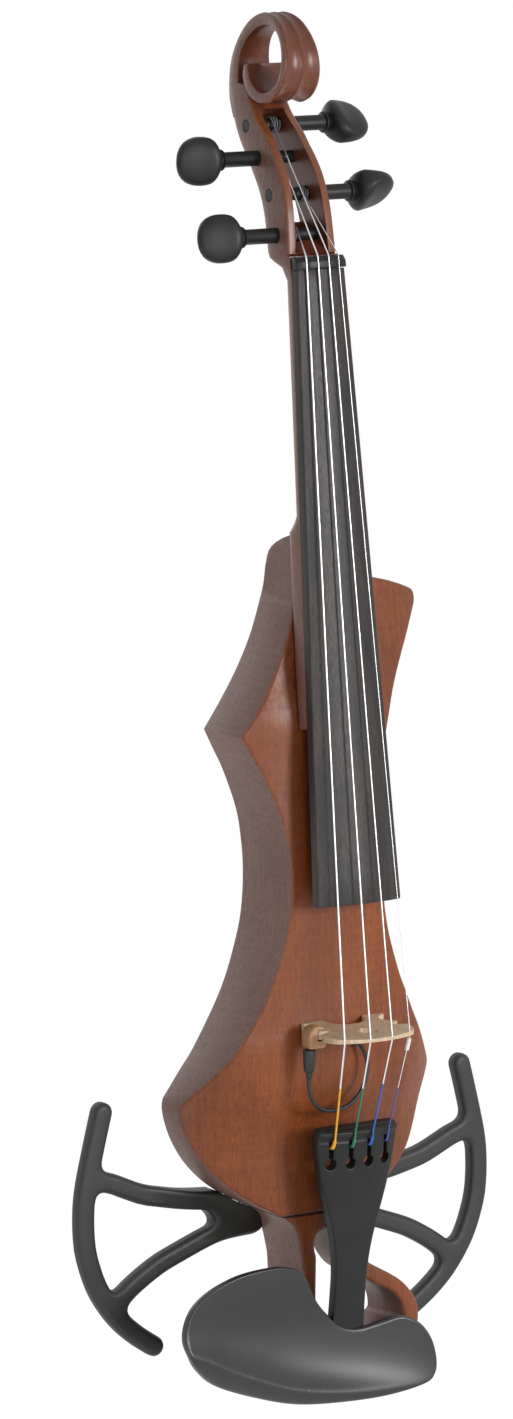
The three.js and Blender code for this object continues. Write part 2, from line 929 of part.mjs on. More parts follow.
const stringShares = [-0.5, -1 / 6, 1 / 6, 0.5]
const stringRadius = (i) => STRINGS.diameters[i] / 2
const stringAtNut = (i) => {
  const x = stringShares[i] * STRINGS.nutSpread
  return v3(x, archDrop(Math.abs(x)), 0)
}
const stringAtBridge = (i) => {
  const x = stringShares[i] * STRINGS.bridgeSpread
  return v3(x, archDrop(Math.abs(x)), -STRINGS.length)
}

// The tailpiece has its own group: Z towards the bridge, Y into the wood, origin at its upper crown.
const tailSlope = Math.atan2(TAILPIECE.frontHeight - TAILPIECE.endHeight, TAILPIECE.length)
const tailGroup = new THREE.Group()
tailGroup.position.set(0, -TAILPIECE.frontHeight, -TAILPIECE.start)
tailGroup.rotation.x = tailSlope
tailGroup.updateMatrix()
violin.add(tailGroup)
const fromTail = (point) => point.clone().applyMatrix4(tailGroup.matrix)
const tailDrop = (x) => TAILPIECE.arch - Math.sqrt(TAILPIECE.arch ** 2 - x ** 2)
const keyholeX = (i) => stringShares[i] * TAILPIECE.spread
const keyhole = { slotStart: 5.5, hole: 15.5, ridgeFrom: 1.2, ridgeTo: 3.4 }

/** The turns of a string on its peg, in the order in which they lead to the nut. */
function windingPoints(i) {
  const peg = pegTable.find((row) => row.string === i)
  const radius = PEG.shaft + GAP + stringRadius(i)
  const nut = stringAtNut(i)
  nut.z = NUT.thickness
  const away = v2(nut.y - peg.back, nut.z - peg.along)
  const leave = Math.atan2(away.y, away.x) - Math.acos(radius / away.length())
  const pitch = STRINGS.diameters[i] + STRINGS.turnGap
  const stepsPerTurn = 9
  const steps = STRINGS.turns * stepsPerTurn
  const room = headHalf(peg.along) - PEGBOX.cheek
  const lastX = room - STRINGS.diameters[i] - GAP
  return spread(0, 1, steps).map((share) => {
    const turn = leave - (1 - share) * STRINGS.turns * 360 * DEG
    const x = peg.side * (lastX - share * STRINGS.turns * pitch)
    return v3(x, peg.back + radius * Math.cos(turn), peg.along + radius * Math.sin(turn))
  })
}

/** The least free space between the turns of a winding, measured on its points. */
function leastTurnGap(points, diameter, stepsPerTurn) {
  let least = Infinity
  points.forEach((point, a) => {
    for (let b = a + Math.ceil(stepsPerTurn / 2); b < points.length; b++) {
      least = Math.min(least, point.distanceTo(points[b]) - diameter)
    }
  })
  return least
}

/** The whole run of a string from its peg over nut and bridge into the tailpiece. */
function stringPath(i) {
  const radius = stringRadius(i)
  const overNut = stringAtNut(i)
  const behindNut = overNut.clone()
  behindNut.z = NUT.thickness
  const points = windingPoints(i).map(fromNeck)
  points.push(fromNeck(behindNut), fromNeck(overNut), fromNeck(stringAtBridge(i)))
  const x = keyholeX(i)
  const rise = TAILPIECE.ridge + GAP + radius
  points.push(fromTail(v3(x, tailDrop(x) - rise, -keyhole.ridgeFrom)))
  points.push(fromTail(v3(x, tailDrop(x) - rise, -keyhole.ridgeTo - radius)))
  points.push(fromTail(v3(x, tailDrop(x), -keyhole.slotStart - 1.6 * STRINGS.diameters[i])))
  points.push(fromTail(v3(x, tailDrop(x) + TAILPIECE.thickness + GAP, -keyhole.hole)))
  return points
}

/** A tube through a list of points, with a mitred ring at each. */
function wire(points, radius, sides) {
  const rings = points.map((point, i) => {
    const before = points[Math.max(i - 1, 0)]
    const after = points[Math.min(i + 1, points.length - 1)]
    const into = i > 0 ? point.clone().sub(before).normalize() : null
    const away = i + 1 < points.length ? after.clone().sub(point).normalize() : null
    const way = (into && away ? into.clone().add(away) : into || away).normalize()
    return { point, way }
  })
  let across = v3(1, 0, 0)
  if (Math.abs(rings[0].way.x) > 0.9) across = v3(0, 1, 0)
  const made = rings.map(({ point, way }) => {
    across = across.clone().addScaledVector(way, -across.dot(way)).normalize()
    const other = way.clone().cross(across)
    return Array.from({ length: sides }, (_, k) => {
      const angle = (k / sides) * 360 * DEG
      return point
        .clone()
        .addScaledVector(across, radius * Math.cos(angle))
        .addScaledVector(other, radius * Math.sin(angle))
    })
  })
  return loft(made)
}

/** The small tube that keeps the thinnest string from cutting into the bridge. */
function sleeveSolid(i) {
  const path = stringPath(i)
  const at = path[path.length - 5]
  const way = path[path.length - 4].clone().sub(at).normalize()
  const start = at.clone().addScaledVector(way, SLEEVE.start)
  const end = start.clone().addScaledVector(way, SLEEVE.length)
  const bore = stringRadius(i) + SLEEVE.fit
  const outside = solid(rod(start, end, bore + SLEEVE.wall, 14))
  const reach = way.clone().multiplyScalar(OVERRUN)
  return outside.subtract(solid(rod(start.clone().sub(reach), end.clone().add(reach), bore, 10)))
}

// Bridge

const bridgeTop = STRINGS.heightAtBridge
const bridgeHeight = bridgeTop + frontOfBody(0, 0)

/** Right half of the bridge as shares of its half width and its height, from the arch to the crown. */
const bridgeHalfShares = [
  [0, 0.27],
  [0.16, 0.262],
  [0.3, 0.22],
  [0.4, 0.13],
  [0.46, -0.02],
  [0.93, -0.02],
  [0.93, 0.045],
  [0.8, 0.1],
  [0.7, 0.17],
  [0.68, 0.25],
  [0.74, 0.31],
  [0.88, 0.335],
  [0.93, 0.375],
  [0.86, 0.43],
  [0.66, 0.44],
  [0.5, 0.42],
  [0.43, 0.45],
  [0.42, 0.52],
  [0.5, 0.58],
  [0.7, 0.56],
  [0.86, 0.545],
  [0.98, 0.56],
  [1, 0.62],
  [0.97, 0.74],
  [0.93, 0.8],
]
const heartShares = [
  [0, 0.5],
  [0.1, 0.56],
  [0.17, 0.64],
  [0.15, 0.71],
  [0.07, 0.72],
  [0, 0.68],
  [-0.07, 0.72],
  [-0.15, 0.71],
  [-0.17, 0.64],
  [-0.1, 0.56],
]

function bridgeSolid() {
  const foot = frontOfBody(0, 0)
  const place = ([x, h]) => v2(x * BRIDGE.halfWidth, foot - h * bridgeHeight)
  const right = bridgeHalfShares.map(place)
  const topY = (x) => -bridgeTop + archDrop(Math.abs(x)) - BRIDGE.aboveStrings
  const crownHalf = BRIDGE.halfWidth * 0.86
  const crown = spread(crownHalf, -crownHalf, 14).map((x) => v2(x, topY(x)))
  const left = [...right].reverse().map((point) => v2(-point.x, point.y))
  const outline = [...right, ...crown, ...left.slice(0, -1)]
  const width = 2 * BRIDGE.footThickness
  const sheet = (points, depth) => {
    const geometry = new THREE.ExtrudeGeometry(new THREE.Shape(points), { depth, bevelEnabled: false })
    geometry.translate(0, 0, -depth / 2)
    return solid(geometry)
  }
  const plate = sheet(outline, width).subtract(sheet(heartShares.map(place), width + OVERRUN))
  const half = BRIDGE.footThickness / 2
  const topHalf = BRIDGE.topThickness / 2
  const wedge = acrossX(
    [
      v2(OVERRUN, -half),
      v2(foot, -half),
      v2(-bridgeTop - OVERRUN, -topHalf),
      v2(-bridgeTop - OVERRUN, topHalf),
      v2(foot, half),
      v2(OVERRUN, half),
    ],
    4 * BRIDGE.halfWidth
  )
  let made = plate.intersect(solid(wedge)).subtract(underFront(GAP))
  for (const i of STRINGS.names.keys()) {
    const path = stringPath(i)
    const at = path.length - 5
    const run = [path[at - 1], path[at], path[at + 1]]
    const near = [run[1].clone().lerp(run[0], 0.1), run[1], run[1].clone().lerp(run[2], 0.5)]
    made = made.subtract(solid(wire(near, stringRadius(i) + GAP, 8)))
  }
  return mainBody(made)
}

// Tail frame: the seam bar, two arms and the bar that carries button, saddle and chinrest

const seam = -BODY.lowerLength
const tailEnd = seam - TAIL.length
const tailPlace = ([x, z]) => v2(x * TAIL.halfWidth, seam + z * TAIL.length)
const tailEdgeShares = [
  [-0.456, -0.006],
  [-0.364, -0.056],
  [-0.302, -0.142],
  [-0.262, -0.252],
  [-0.24, -0.346],
  [-0.24, -0.53],
  [-0.3, -0.7],
  [-0.48, -0.8],
  [-0.72, -0.825],
  [-0.88, -0.85],
  [-0.93, -0.9],
  [-0.87, -0.965],
  [-0.36, -0.993],
  [0, -1],
  [0.36, -0.99],
  [0.66, -0.96],
  [0.86, -0.9],
  [0.945, -0.83],
  [0.97, -0.776],
  [0.968, -0.7],
  [0.938, -0.634],
  [0.876, -0.572],
  [0.792, -0.513],
  [0.676, -0.458],
  [0.55, -0.408],
  [0.444, -0.362],
  [0.382, -0.299],
  [0.33, -0.204],
  [0.32, -0.12],
  [0.37, -0.05],
  [0.42, -0.006],
]
const tailHoleShares = [
  [0, -0.108],
  [-0.096, -0.131],
  [-0.126, -0.19],
  [-0.116, -0.246],
  [-0.096, -0.311],
  [-0.096, -0.6],
  [-0.04, -0.725],
  [0.12, -0.796],
  [0.4, -0.81],
  [0.66, -0.8],
  [0.79, -0.768],
  [0.812, -0.735],
  [0.792, -0.658],
  [0.738, -0.603],
  [0.654, -0.556],
  [0.528, -0.513],
  [0.424, -0.466],
  [0.34, -0.42],
  [0.25, -0.331],
  [0.18, -0.204],
  [0.11, -0.127],
]
const tailOutline = through(tailEdgeShares.map(tailPlace), 64)
const tailHole = through([...tailHoleShares, tailHoleShares[0]].map(tailPlace), 40).slice(0, -1)
const frontOfTail = (z) => -lerp(TAIL.seamDepth, TAIL.depth, clamp((seam - z) / (TAIL.length / 3), 0, 1))

const dowel = { radius: 4, length: 22, spacing: 22 }
const dowelPlaces = [-dowel.spacing / 2, dowel.spacing / 2].map((x) => v3(x, -TAIL.depth / 2, seam))
const dowelBores = dowelPlaces.map((place) =>
  solid(
    rod(
      place.clone().add(v3(0, 0, -dowelReachBelow() - GAP)),
      place.clone().add(v3(0, 0, dowel.length - dowelReachBelow() + GAP)),
      dowel.radius + GAP,
      20
    )
  )
)
/** How far a dowel reaches into the tail frame, within the bar above its opening. */
function dowelReachBelow() {
  return TAIL.length * 0.108 * 0.55
}

const button = { shaft: 3.6, neck: 4.6, head: 6.8, headLength: 5.4, neckLength: 4.2, depth: 9 }
const buttonAt = v3(0, -TAIL.depth / 2, tailEnd)

function tailFrameSolid() {
  const depth = TAIL.seamDepth + OVERRUN
  const rows = spread(tailEnd - OVERRUN, seam + OVERRUN, 12)
  const across = [-TAIL.halfWidth - OVERRUN, TAIL.halfWidth + OVERRUN]
  const under = solid(slab(across, rows, (x, z) => frontOfTail(z), () => OVERRUN))
  const opening = solid(acrossY(tailHole, -depth - OVERRUN, OVERRUN))
  let made = solid(acrossY(tailOutline, -depth, 0)).subtract(opening).intersect(under)
  for (const bore of dowelBores) made = made.subtract(bore)
  const top = buttonAt.clone().add(v3(0, 0, button.depth + GAP))
  const shaft = rod(top, buttonAt.clone().add(v3(0, 0, -OVERRUN)), button.shaft + GAP, 20)
  return mainBody(made.subtract(solid(shaft)))
}

// Tailpiece

const tailpieceHalfShares = [
  [0, 0.93],
  [0.012, 0.985],
  [0.05, 0.998],
  [0.1, 0.975],
  [0.18, 0.905],
  [0.27, 0.81],
  [0.36, 0.685],
  [0.45, 0.56],
  [0.54, 0.46],
  [0.66, 0.395],
  [0.8, 0.39],
  [0.92, 0.4],
  [0.985, 0.36],
  [1, 0.24],
]
const gutX = 3.4
const gutRadius = 1.1

function tailpieceSolid() {
  const right = tailpieceHalfShares.map(([z, x]) => v2(x * TAILPIECE.halfWidth, -z * TAILPIECE.length))
  const left = [...right].reverse().map((point) => v2(-point.x, point.y))
  const deep = TAILPIECE.thickness + tailDrop(TAILPIECE.halfWidth) + OVERRUN
  const plan = solid(acrossY([...right, ...left], -OVERRUN, deep))
  const columns = spread(-TAILPIECE.halfWidth - OVERRUN, TAILPIECE.halfWidth + OVERRUN, 10)
  const arched = (lift, from, to) =>
    solid(slab(columns, [from, to], (x) => tailDrop(x) - lift, (x) => tailDrop(x) + TAILPIECE.thickness))
  let made = arched(0, -TAILPIECE.length - OVERRUN, OVERRUN)
  made = made.add(arched(TAILPIECE.ridge, -keyhole.ridgeTo, -keyhole.ridgeFrom)).intersect(plan)
  for (const i of STRINGS.names.keys()) {
    const x = keyholeX(i)
    const hole = rod(v3(x, -OVERRUN, -keyhole.hole), v3(x, deep, -keyhole.hole), TAILPIECE.holeRadius, 16)
    const half = TAILPIECE.slotWidth / 2
    const slot = block(v3(x - half, -OVERRUN, -keyhole.hole), v3(x + half, deep, -keyhole.slotStart))
    made = made.subtract(solid(hole)).subtract(solid(slot))
  }
  for (const x of [-gutX, gutX]) {
    const depth = TAILPIECE.thickness / 2
    const from = v3(x, depth, -TAILPIECE.length - OVERRUN)
    const to = v3(x, depth, -TAILPIECE.length + gutBoreDepth + GAP)
    made = made.subtract(solid(rod(from, to, gutRadius + GAP, 12)))
  }
  return mainBody(made)
}
const gutBoreDepth = 9

// Saddle, gut and end button

const saddle = { halfWidth: 8.5, depth: 8, height: 4.6 }
const saddleTop = -TAIL.depth - GAP - saddle.height
const saddleZ = tailEnd + saddle.depth / 2

function saddleGeometry() {
  const back = -TAIL.depth - GAP
  const profilePoints = [
    v2(back, tailEnd + saddle.depth),
    v2(back, tailEnd),
    v2(lerp(back, saddleTop, 0.55), tailEnd),
    v2(lerp(back, saddleTop, 0.88), tailEnd + saddle.depth * 0.1),
    v2(saddleTop, tailEnd + saddle.depth * 0.35),
    v2(lerp(back, saddleTop, 0.9), tailEnd + saddle.depth * 0.7),
    v2(lerp(back, saddleTop, 0.45), tailEnd + saddle.depth),
  ]
  return acrossX(profilePoints, 2 * saddle.halfWidth)
}

function gutGeometry() {
  const loop = button.neck + GAP + gutRadius
  const outside = tailEnd - 2 * GAP - gutRadius
  const over = saddleTop - 2 * GAP - gutRadius
  const past = 0.5 // degrees on each side of the half turn round the button
  const side = (x) => {
    const inTail = fromTail(v3(x, TAILPIECE.thickness / 2, -TAILPIECE.length + gutBoreDepth))
    const leave = fromTail(v3(x, TAILPIECE.thickness / 2, -TAILPIECE.length - gutRadius))
    return [
      inTail,
      leave,
      v3(x, over, tailEnd + saddle.depth * 0.55),
      v3(x, over, tailEnd + saddle.depth * 0.2),
      v3(x, lerp(-TAIL.depth, over, 0.75), outside - gutRadius * 0.3),
      v3(x, -TAIL.depth, outside - gutRadius * 0.3),
      v3(lerp(Math.sign(x) * loop, x, 0.35), buttonAt.y - loop * 0.8, outside),
    ]
  }
  const arc = spread(-past, HALF_TURN + past, 8).map((angle) =>
    v3(loop * Math.cos(angle * DEG), buttonAt.y + loop * Math.sin(angle * DEG), outside)
  )
  return wire([...side(gutX), ...arc, ...side(-gutX).reverse()], gutRadius, 6)
}

function buttonGeometry() {
  return turned(
    buttonAt.clone().add(v3(0, 0, button.depth)),
    v3(0, 0, -1),
    [
      [0, 0],
      [0, button.shaft * 0.85],
      [button.depth + GAP, button.shaft],
      [button.depth + GAP, button.neck],
      [button.depth + GAP + button.neckLength * 0.8, button.neck * 0.94],
      [button.depth + GAP + button.neckLength, button.head * 0.94],
      [button.depth + GAP + button.neckLength + button.headLength * 0.3, button.head],
      [button.depth + GAP + button.neckLength + button.headLength * 0.7, button.head * 0.93],
      [button.depth + GAP + button.neckLength + button.headLength, button.head * 0.6],
      [button.depth + GAP + button.neckLength + button.headLength * 1.06, 0],
    ],
    18
  )
}

// Chinrest

const chinPlace = ([x, z]) =>
  v2(CHINREST.centreX + x * CHINREST.halfSpan, -CHINREST.centreBelow + (z * CHINREST.depth) / 2)
const chinShares = [
  [-0.27, 1],
  [-0.45, 0.99],
  [-0.62, 0.935],
  [-0.8, 0.79],
  [-0.93, 0.57],
  [-1, 0.21],
  [-0.975, -0.06],
  [-0.87, -0.31],
  [-0.7, -0.55],
  [-0.4, -0.775],
  [-0.1, -0.93],
  [0.25, -0.985],
  [0.6, -0.985],
  [0.9, -0.9],
  [0.985, -0.78],
  [1, -0.58],
  [0.965, -0.3],
  [0.88, -0.07],
  [0.75, 0.05],
  [0.6, 0.01],
  [0.42, -0.045],
  [0.28, 0.02],
  [0.155, 0.245],
  [0.07, 0.45],
  [-0.02, 0.75],
  [-0.11, 0.92],
]
const chinOutline = through([...chinShares, chinShares[0]].map(chinPlace), 48).slice(0, -1)

/** Y of the chinrest's upper face: a dish on the bass side that rises towards its rim. */
function frontOfChinrest(x, z) {
  const u = (x - CHINREST.centreX) / CHINREST.halfSpan
  const v = (z + CHINREST.centreBelow) / (CHINREST.depth / 2)
  const nearDish = ((u + 0.42) / 0.62) ** 2 + ((v - 0.12) / 0.95) ** 2
  const dish = CHINREST.dish * Math.max(0, 1 - nearDish) ** 0.8
  const roll = CHINREST.dish * 0.75 * Math.max(0, u - 0.45) ** 2
  const lip = CHINREST.dish * 0.55 * Math.max(0, -v - 0.62) * 2
  return -CHINREST.rimHeight + dish + roll + lip
}

const footBack = -TAIL.depth - GAP - CHINREST.cork - GAP
const footX = -0.4 * TAIL.halfWidth
const footLow = tailEnd + 0.03 * TAIL.length

function chinrestSolid() {
  const xs = spread(
    CHINREST.centreX - CHINREST.halfSpan - OVERRUN,
    CHINREST.centreX + CHINREST.halfSpan + OVERRUN,
    12
  )
  const zs = spread(
    -CHINREST.centreBelow - CHINREST.depth / 2 - OVERRUN,
    -CHINREST.centreBelow + CHINREST.depth / 2 + OVERRUN,
    7
  )
  const plate = solid(
    slab(xs, zs, frontOfChinrest, (x, z) => frontOfChinrest(x, z) + CHINREST.thickness)
  ).intersect(solid(acrossY(chinOutline, -CHINREST.rimHeight - OVERRUN, 0)))
  const inPlate = -CHINREST.rimHeight + CHINREST.thickness / 2 + CHINREST.dish / 2
  const foot = block(
    v3(footX - CHINREST.footWidth / 2, inPlate, footLow),
    v3(footX + CHINREST.footWidth / 2, footBack, footLow + CHINREST.footDepth)
  )
  let made = plate.add(solid(foot))
  for (const x of barrelXs) {
    const top = v3(x, -CHINREST.rimHeight + CHINREST.thickness * 0.5, barrelZ)
    made = made.subtract(solid(rod(top, v3(x, 0, barrelZ), CLAMP.rodRadius + GAP, 12)))
  }
  return mainBody(made)
}

const barrelXs = [footX - CLAMP.spacing / 2, footX + CLAMP.spacing / 2]
const barrelZ = tailEnd - CLAMP.barrelRadius - 2 * GAP
const clampBack = GAP + CHINREST.cork + GAP

function barrelGeometry(x) {
  const top = -CHINREST.rimHeight + CHINREST.thickness * 0.5 + GAP
  const underPlate = frontOfChinrest(x, barrelZ) + CHINREST.thickness + 5 * GAP
  const bodyEnd = -GAP
  return turned(v3(x, top, barrelZ), v3(0, 1, 0), [
    [0, 0],
    [0, CLAMP.rodRadius],
    [underPlate - top, CLAMP.rodRadius],
    [underPlate - top, CLAMP.barrelRadius],
    [bodyEnd - top, CLAMP.barrelRadius],
    [bodyEnd - top, CLAMP.rodRadius],
    [clampBack - top + CLAMP.plate, CLAMP.rodRadius],
    [clampBack - top + CLAMP.plate, 0],
  ], 12)
}

function clampPlateSolid() {
  const low = barrelZ - CLAMP.rodRadius - CLAMP.plate
  const plate = block(
    v3(footX - CHINREST.footWidth / 2, clampBack, low),
    v3(footX + CHINREST.footWidth / 2, clampBack + CLAMP.plate, footLow + CHINREST.footDepth)
  )
  let made = solid(plate)
  for (const x of barrelXs) {
    const from = v3(x, -OVERRUN, barrelZ)
    const to = v3(x, clampBack + OVERRUN, barrelZ)
    made = made.subtract(solid(rod(from, to, CLAMP.rodRadius + GAP, 12)))
  }
  return made
}

/** One of the two cork pads that the chinrest grips the tail bar with. */
function corkGeometry(fromY) {
  return block(
    v3(footX - CHINREST.footWidth / 2, fromY, footLow),
    v3(footX + CHINREST.footWidth / 2, fromY + CHINREST.cork, footLow + CHINREST.footDepth)
  )
}

// Wings

/** A place on a wing, from shares of its reach. */
const wingPlace = ([x, z]) => v2(x * WING.reach, z * WING.reach - WING.below)

/** Centre lines of the outer bar and of the two ribs, each from its outer end. */
const rimShares = [
  [0.864, 0.437],
  [0.905, 0.279],
  [0.941, 0.121],
  [0.95, 0],
  [0.943, -0.109],
  [0.926, -0.178],
  [0.902, -0.247],
  [0.871, -0.309],
  [0.831, -0.368],
  [0.779, -0.43],
  [0.705, -0.494],
  [0.627, -0.547],
]
const upperRibShares = [
  [0.892, 0.163],
  [0.818, 0.141],
  [0.753, 0.112],
  [0.674, 0.079],
  [0.595, 0.06],
  [0.511, 0.043],
  [0.418, 0.032],
  [0.335, 0.025],
]
const lowerRibShares = [
  [0.799, -0.349],
  [0.739, -0.299],
  [0.669, -0.254],
  [0.595, -0.214],
  [0.52, -0.185],
  [0.446, -0.158],
  [0.372, -0.139],
  [0.288, -0.121],
  [0.186, -0.112],
]
/** The block that both ribs end in, cut to the side of the body. */
const wingRootShares = [
  [0.363, 0.071],
  [0.093, 0.071],
  [0.093, -0.158],
  [0.288, -0.164],
  [0.31, -0.12],
  [0.293, -0.058],
  [0.344, -0.021],
]

/** A bar of rounded section along a line in X and Z, with its ends rounded or cut square. */
function barGeometry(points, width, thickness, roundEnds) {
  const sides = 8
  const line = roundEnds ? withRoundEnds(points, width / 2) : points.map((point) => ({ point, share: 1 }))
  const rings = line.map(({ point, share }, i) => {
    const before = line[Math.max(i - 1, 0)].point
    const after = line[Math.min(i + 1, line.length - 1)].point
    const way = after.clone().sub(before).normalize()
    return Array.from({ length: sides }, (_, k) => {
      const angle = ((k + 0.5) / sides) * 360 * DEG
      const c = Math.cos(angle)
      const s = Math.sin(angle)
      const across = Math.sign(c) * Math.pow(Math.abs(c), 0.7) * (width / 2) * share
      const deep = Math.sign(s) * Math.pow(Math.abs(s), 0.7) * (thickness / 2) * lerp(0.35, 1, share)
      return v3(point.x - way.y * across, deep, point.y + way.x * across)
    })
  })
  return loft(rings)
}

/** Adds shrinking rings beyond both ends of a line. */
function withRoundEnds(points, radius) {
  const last = points.length - 1
  const startWay = points[0].clone().sub(points[1]).normalize()
  const endWay = points[last].clone().sub(points[last - 1]).normalize()
  const cap = (from, way) =>
    [25, 50, 75].map((angle) => ({
      point: from.clone().addScaledVector(way, radius * Math.sin(angle * DEG)),
      share: Math.cos(angle * DEG),
    }))
  const middle = points.map((point) => ({ point, share: 1 }))
  return [...cap(points[0], startWay).reverse(), ...middle, ...cap(points[last], endWay)]
}

function wingSolid(side) {
  const line = (shares, steps) => through(shares.map(wingPlace), steps)
  const rim = barGeometry(line(rimShares, 16), WING.bar, WING.thickness, true)
  const upper = barGeometry(line(upperRibShares, 8), WING.rib, WING.thickness, false)
  const lower = barGeometry(line(lowerRibShares, 9), WING.rib, WING.thickness, false)
  const root = acrossY(
    wingRootShares.map(wingPlace),
    WING.thickness / 2 - WING.rootDepth,
    WING.thickness / 2
  )
  let made = solid(rim).add(solid(upper)).add(solid(lower)).add(solid(root))
  made = made.translate([0, WING.middle, 0])
  if (side < 0) made = made.mirror([1, 0, 0])
  const deep = BODY.crown + OVERRUN
  made = made.subtract(solid(acrossY(grown(bodyOutline, GAP), -deep, deep)))
  made = made.subtract(solid(acrossY(grown(tailOutline, GAP), -deep, deep)))
  for (const { bore } of wingPins) made = made.subtract(bore)
  return mainBody(made)
}

// Pins that hold the wings to the sides of the lower bout

const wingPin = { radius: 1.6, inBody: 8.5, inWing: 7, back: -3 }
const bassBoutPoints = through(bassBoutShares.map(bodyPlace), 20)
const wingPins = [
  { name: 'wing_pin_bass_outer', points: bassBoutPoints, share: 0.8 },
  { name: 'wing_pin_bass_inner', points: bassBoutPoints, share: 0.93 },
  { name: 'wing_pin_treble_outer', points: trebleBoutPoints, share: 0.215 },
  { name: 'wing_pin_treble_inner', points: trebleBoutPoints, share: 0.072 },
].map(({ name, points, share }) => {
  const i = Math.round(share * (points.length - 1))
  const way = points[i + 1].clone().sub(points[i - 1]).normalize()
  const out = v3(way.y, 0, -way.x)
  const at = v3(points[i].x, wingPin.back, points[i].y)
  const from = at.clone().addScaledVector(out, -wingPin.inBody)
  const to = at.clone().addScaledVector(out, wingPin.inWing)
  return {
    name,
    pin: rod(from, to, wingPin.radius, 12),
    bore: solid(
      rod(
        from.clone().addScaledVector(out, -GAP),
        to.clone().addScaledVector(out, GAP),
        wingPin.radius + GAP,
        12
      )
    ),
  }
})

// Back: electronics, battery and controls

const plate = (outline, fromY, toY) => solid(acrossY(outline, fromY, toY))
const coverMiddle = v2(0, (COVER.bottom + COVER.top) / 2)
const coverHalfHeight = (COVER.top - COVER.bottom) / 2
const coverOutline = (extra) =>
  roundedRectangle(coverMiddle, COVER.halfWidth + extra, coverHalfHeight + extra, COVER.corner + extra)
const cavityOutline = roundedRectangle(
  coverMiddle,
  COVER.halfWidth - COVER.ledge,
  coverHalfHeight - COVER.ledge,
  COVER.corner - GAP
)
const coverSeat = -COVER.thickness - 2 * GAP
const coverScrews = [
  [-1, -1],
  [1, -1],
  [-1, 1],
  [1, 1],
].map(([sx, sz]) =>
  v3(
    sx * (COVER.halfWidth - COVER.ledge * 0.62),
    -GAP,
    coverMiddle.y + sz * (coverHalfHeight - COVER.ledge * 0.62)
  )
)
const knobPlaces = [-CONTROL.spacing / 2, CONTROL.spacing / 2].map((x) => v3(x, 0, CONTROL.along))

const bay = {
  halfWidth: BATTERY.width / 2 + BATTERY.slack,
  low: BATTERY.start,
  high: BATTERY.start + BATTERY.length + BATTERY.clip + 3 * BATTERY.slack,
  depth: BATTERY.lid + BATTERY.thickness + 3 * BATTERY.slack,
}
const lidLedge = 2.2
const lidLow = bay.low - lidLedge
const lidHigh = bay.high + lidLedge + 2 * BATTERY.hinge
const lidHalf = bay.halfWidth + lidLedge
const hingeZ = bay.high + lidLedge + BATTERY.hinge
const hingeY = -BATTERY.hinge - 2 * GAP

/** The jack's place and direction, square to the treble side of the lower bout. */
const jackIndex = Math.round(JACK.outlineShare * (trebleBoutPoints.length - 1))
const jackRim = trebleBoutPoints[jackIndex]
const jackWay2 = trebleBoutPoints[jackIndex + 1].clone().sub(trebleBoutPoints[jackIndex - 1]).normalize()
const jackOut = v3(jackWay2.y, 0, -jackWay2.x)
const jackAt = v3(jackRim.x, -JACK.height, jackRim.y)
const jackPoint = (out) => jackAt.clone().addScaledVector(jackOut, out)

function bodySolid() {
  const deep = BODY.crown + OVERRUN
  let made = plate(bodyOutline, -deep, 0).intersect(underFront(0))
  const mortise = loft(neckRings(GAP, true))
  mortise.applyMatrix4(neckGroup.matrix)
  made = made.subtract(solid(mortise))
  made = made.subtract(plate(coverOutline(GAP), coverSeat, OVERRUN))
  made = made.subtract(plate(cavityOutline, -COVER.cavityDepth, OVERRUN))
  for (const place of coverScrews) {
    const end = place.clone().add(v3(0, -COVER.screwLength - GAP, 0))
    made = made.subtract(solid(rod(end, place, COVER.screwRadius + GAP, 12)))
  }
  const lidMiddle = v2(0, (lidLow + lidHigh) / 2)
  const lidRoom = roundedRectangle(lidMiddle, lidHalf + GAP, (lidHigh - lidLow) / 2 + GAP, lidLedge)
  made = made.subtract(plate(lidRoom, -BATTERY.lid - 2 * GAP, OVERRUN))
  const hingeRoom = block(
    v3(-lidHalf - GAP, hingeY - BATTERY.hinge - 2 * GAP, hingeZ - BATTERY.hinge - GAP),
    v3(lidHalf + GAP, OVERRUN, hingeZ + BATTERY.hinge + 5 * GAP)
  )
  made = made.subtract(solid(hingeRoom))
  const bayLow = v3(-bay.halfWidth, -bay.depth, bay.low)
  made = made.subtract(solid(block(bayLow, v3(bay.halfWidth, OVERRUN, bay.high))))
  const pin = rod(
    v3(-lidHalf - hingePin.reach - GAP, hingeY, hingeZ),
    v3(lidHalf + hingePin.reach + GAP, hingeY, hingeZ),
    hingePin.radius + GAP,
    12
  )
  made = made.subtract(solid(pin))
  const jackBore = rod(jackPoint(OVERRUN), jackPoint(-JACK.length - 2 * GAP), JACK.radius + GAP, 20)
  const jackSeat = rod(jackPoint(OVERRUN), jackPoint(-JACK.flangeWidth), JACK.flange + 2 * GAP, 24)
  made = made.subtract(solid(jackBore)).subtract(solid(jackSeat))
  for (const bore of [...dowelBores, ...wingPins.map((row) => row.bore)]) made = made.subtract(bore)
  const leadStart = v3(leadEntry.x, -COVER.cavityDepth * 0.9, leadEntry.z)
  const leadWay = rod(leadStart, v3(leadEntry.x, -deep, leadEntry.z), grommet.hole, 16)
  made = made.subtract(solid(leadWay))
  const wireWay = rod(
    v3(leadEntry.x, -COVER.cavityDepth * 0.95, leadEntry.z),
    v3(leadEntry.x * 0.5, -COVER.cavityDepth * 0.6, COVER.top - COVER.ledge * 2),
    grommet.hole,
    12
  )
  made = made.subtract(solid(wireWay))
  return mainBody(made)
}
const hingePin = { radius: 0.8, reach: 2.5 }
const grommet = { hole: 2.3, flange: 2.9, flangeHeight: 0.8, depth: 5, right: 5.5, below: 5.8 }
const leadEntry = v3(grommet.right, 0, -grommet.below)

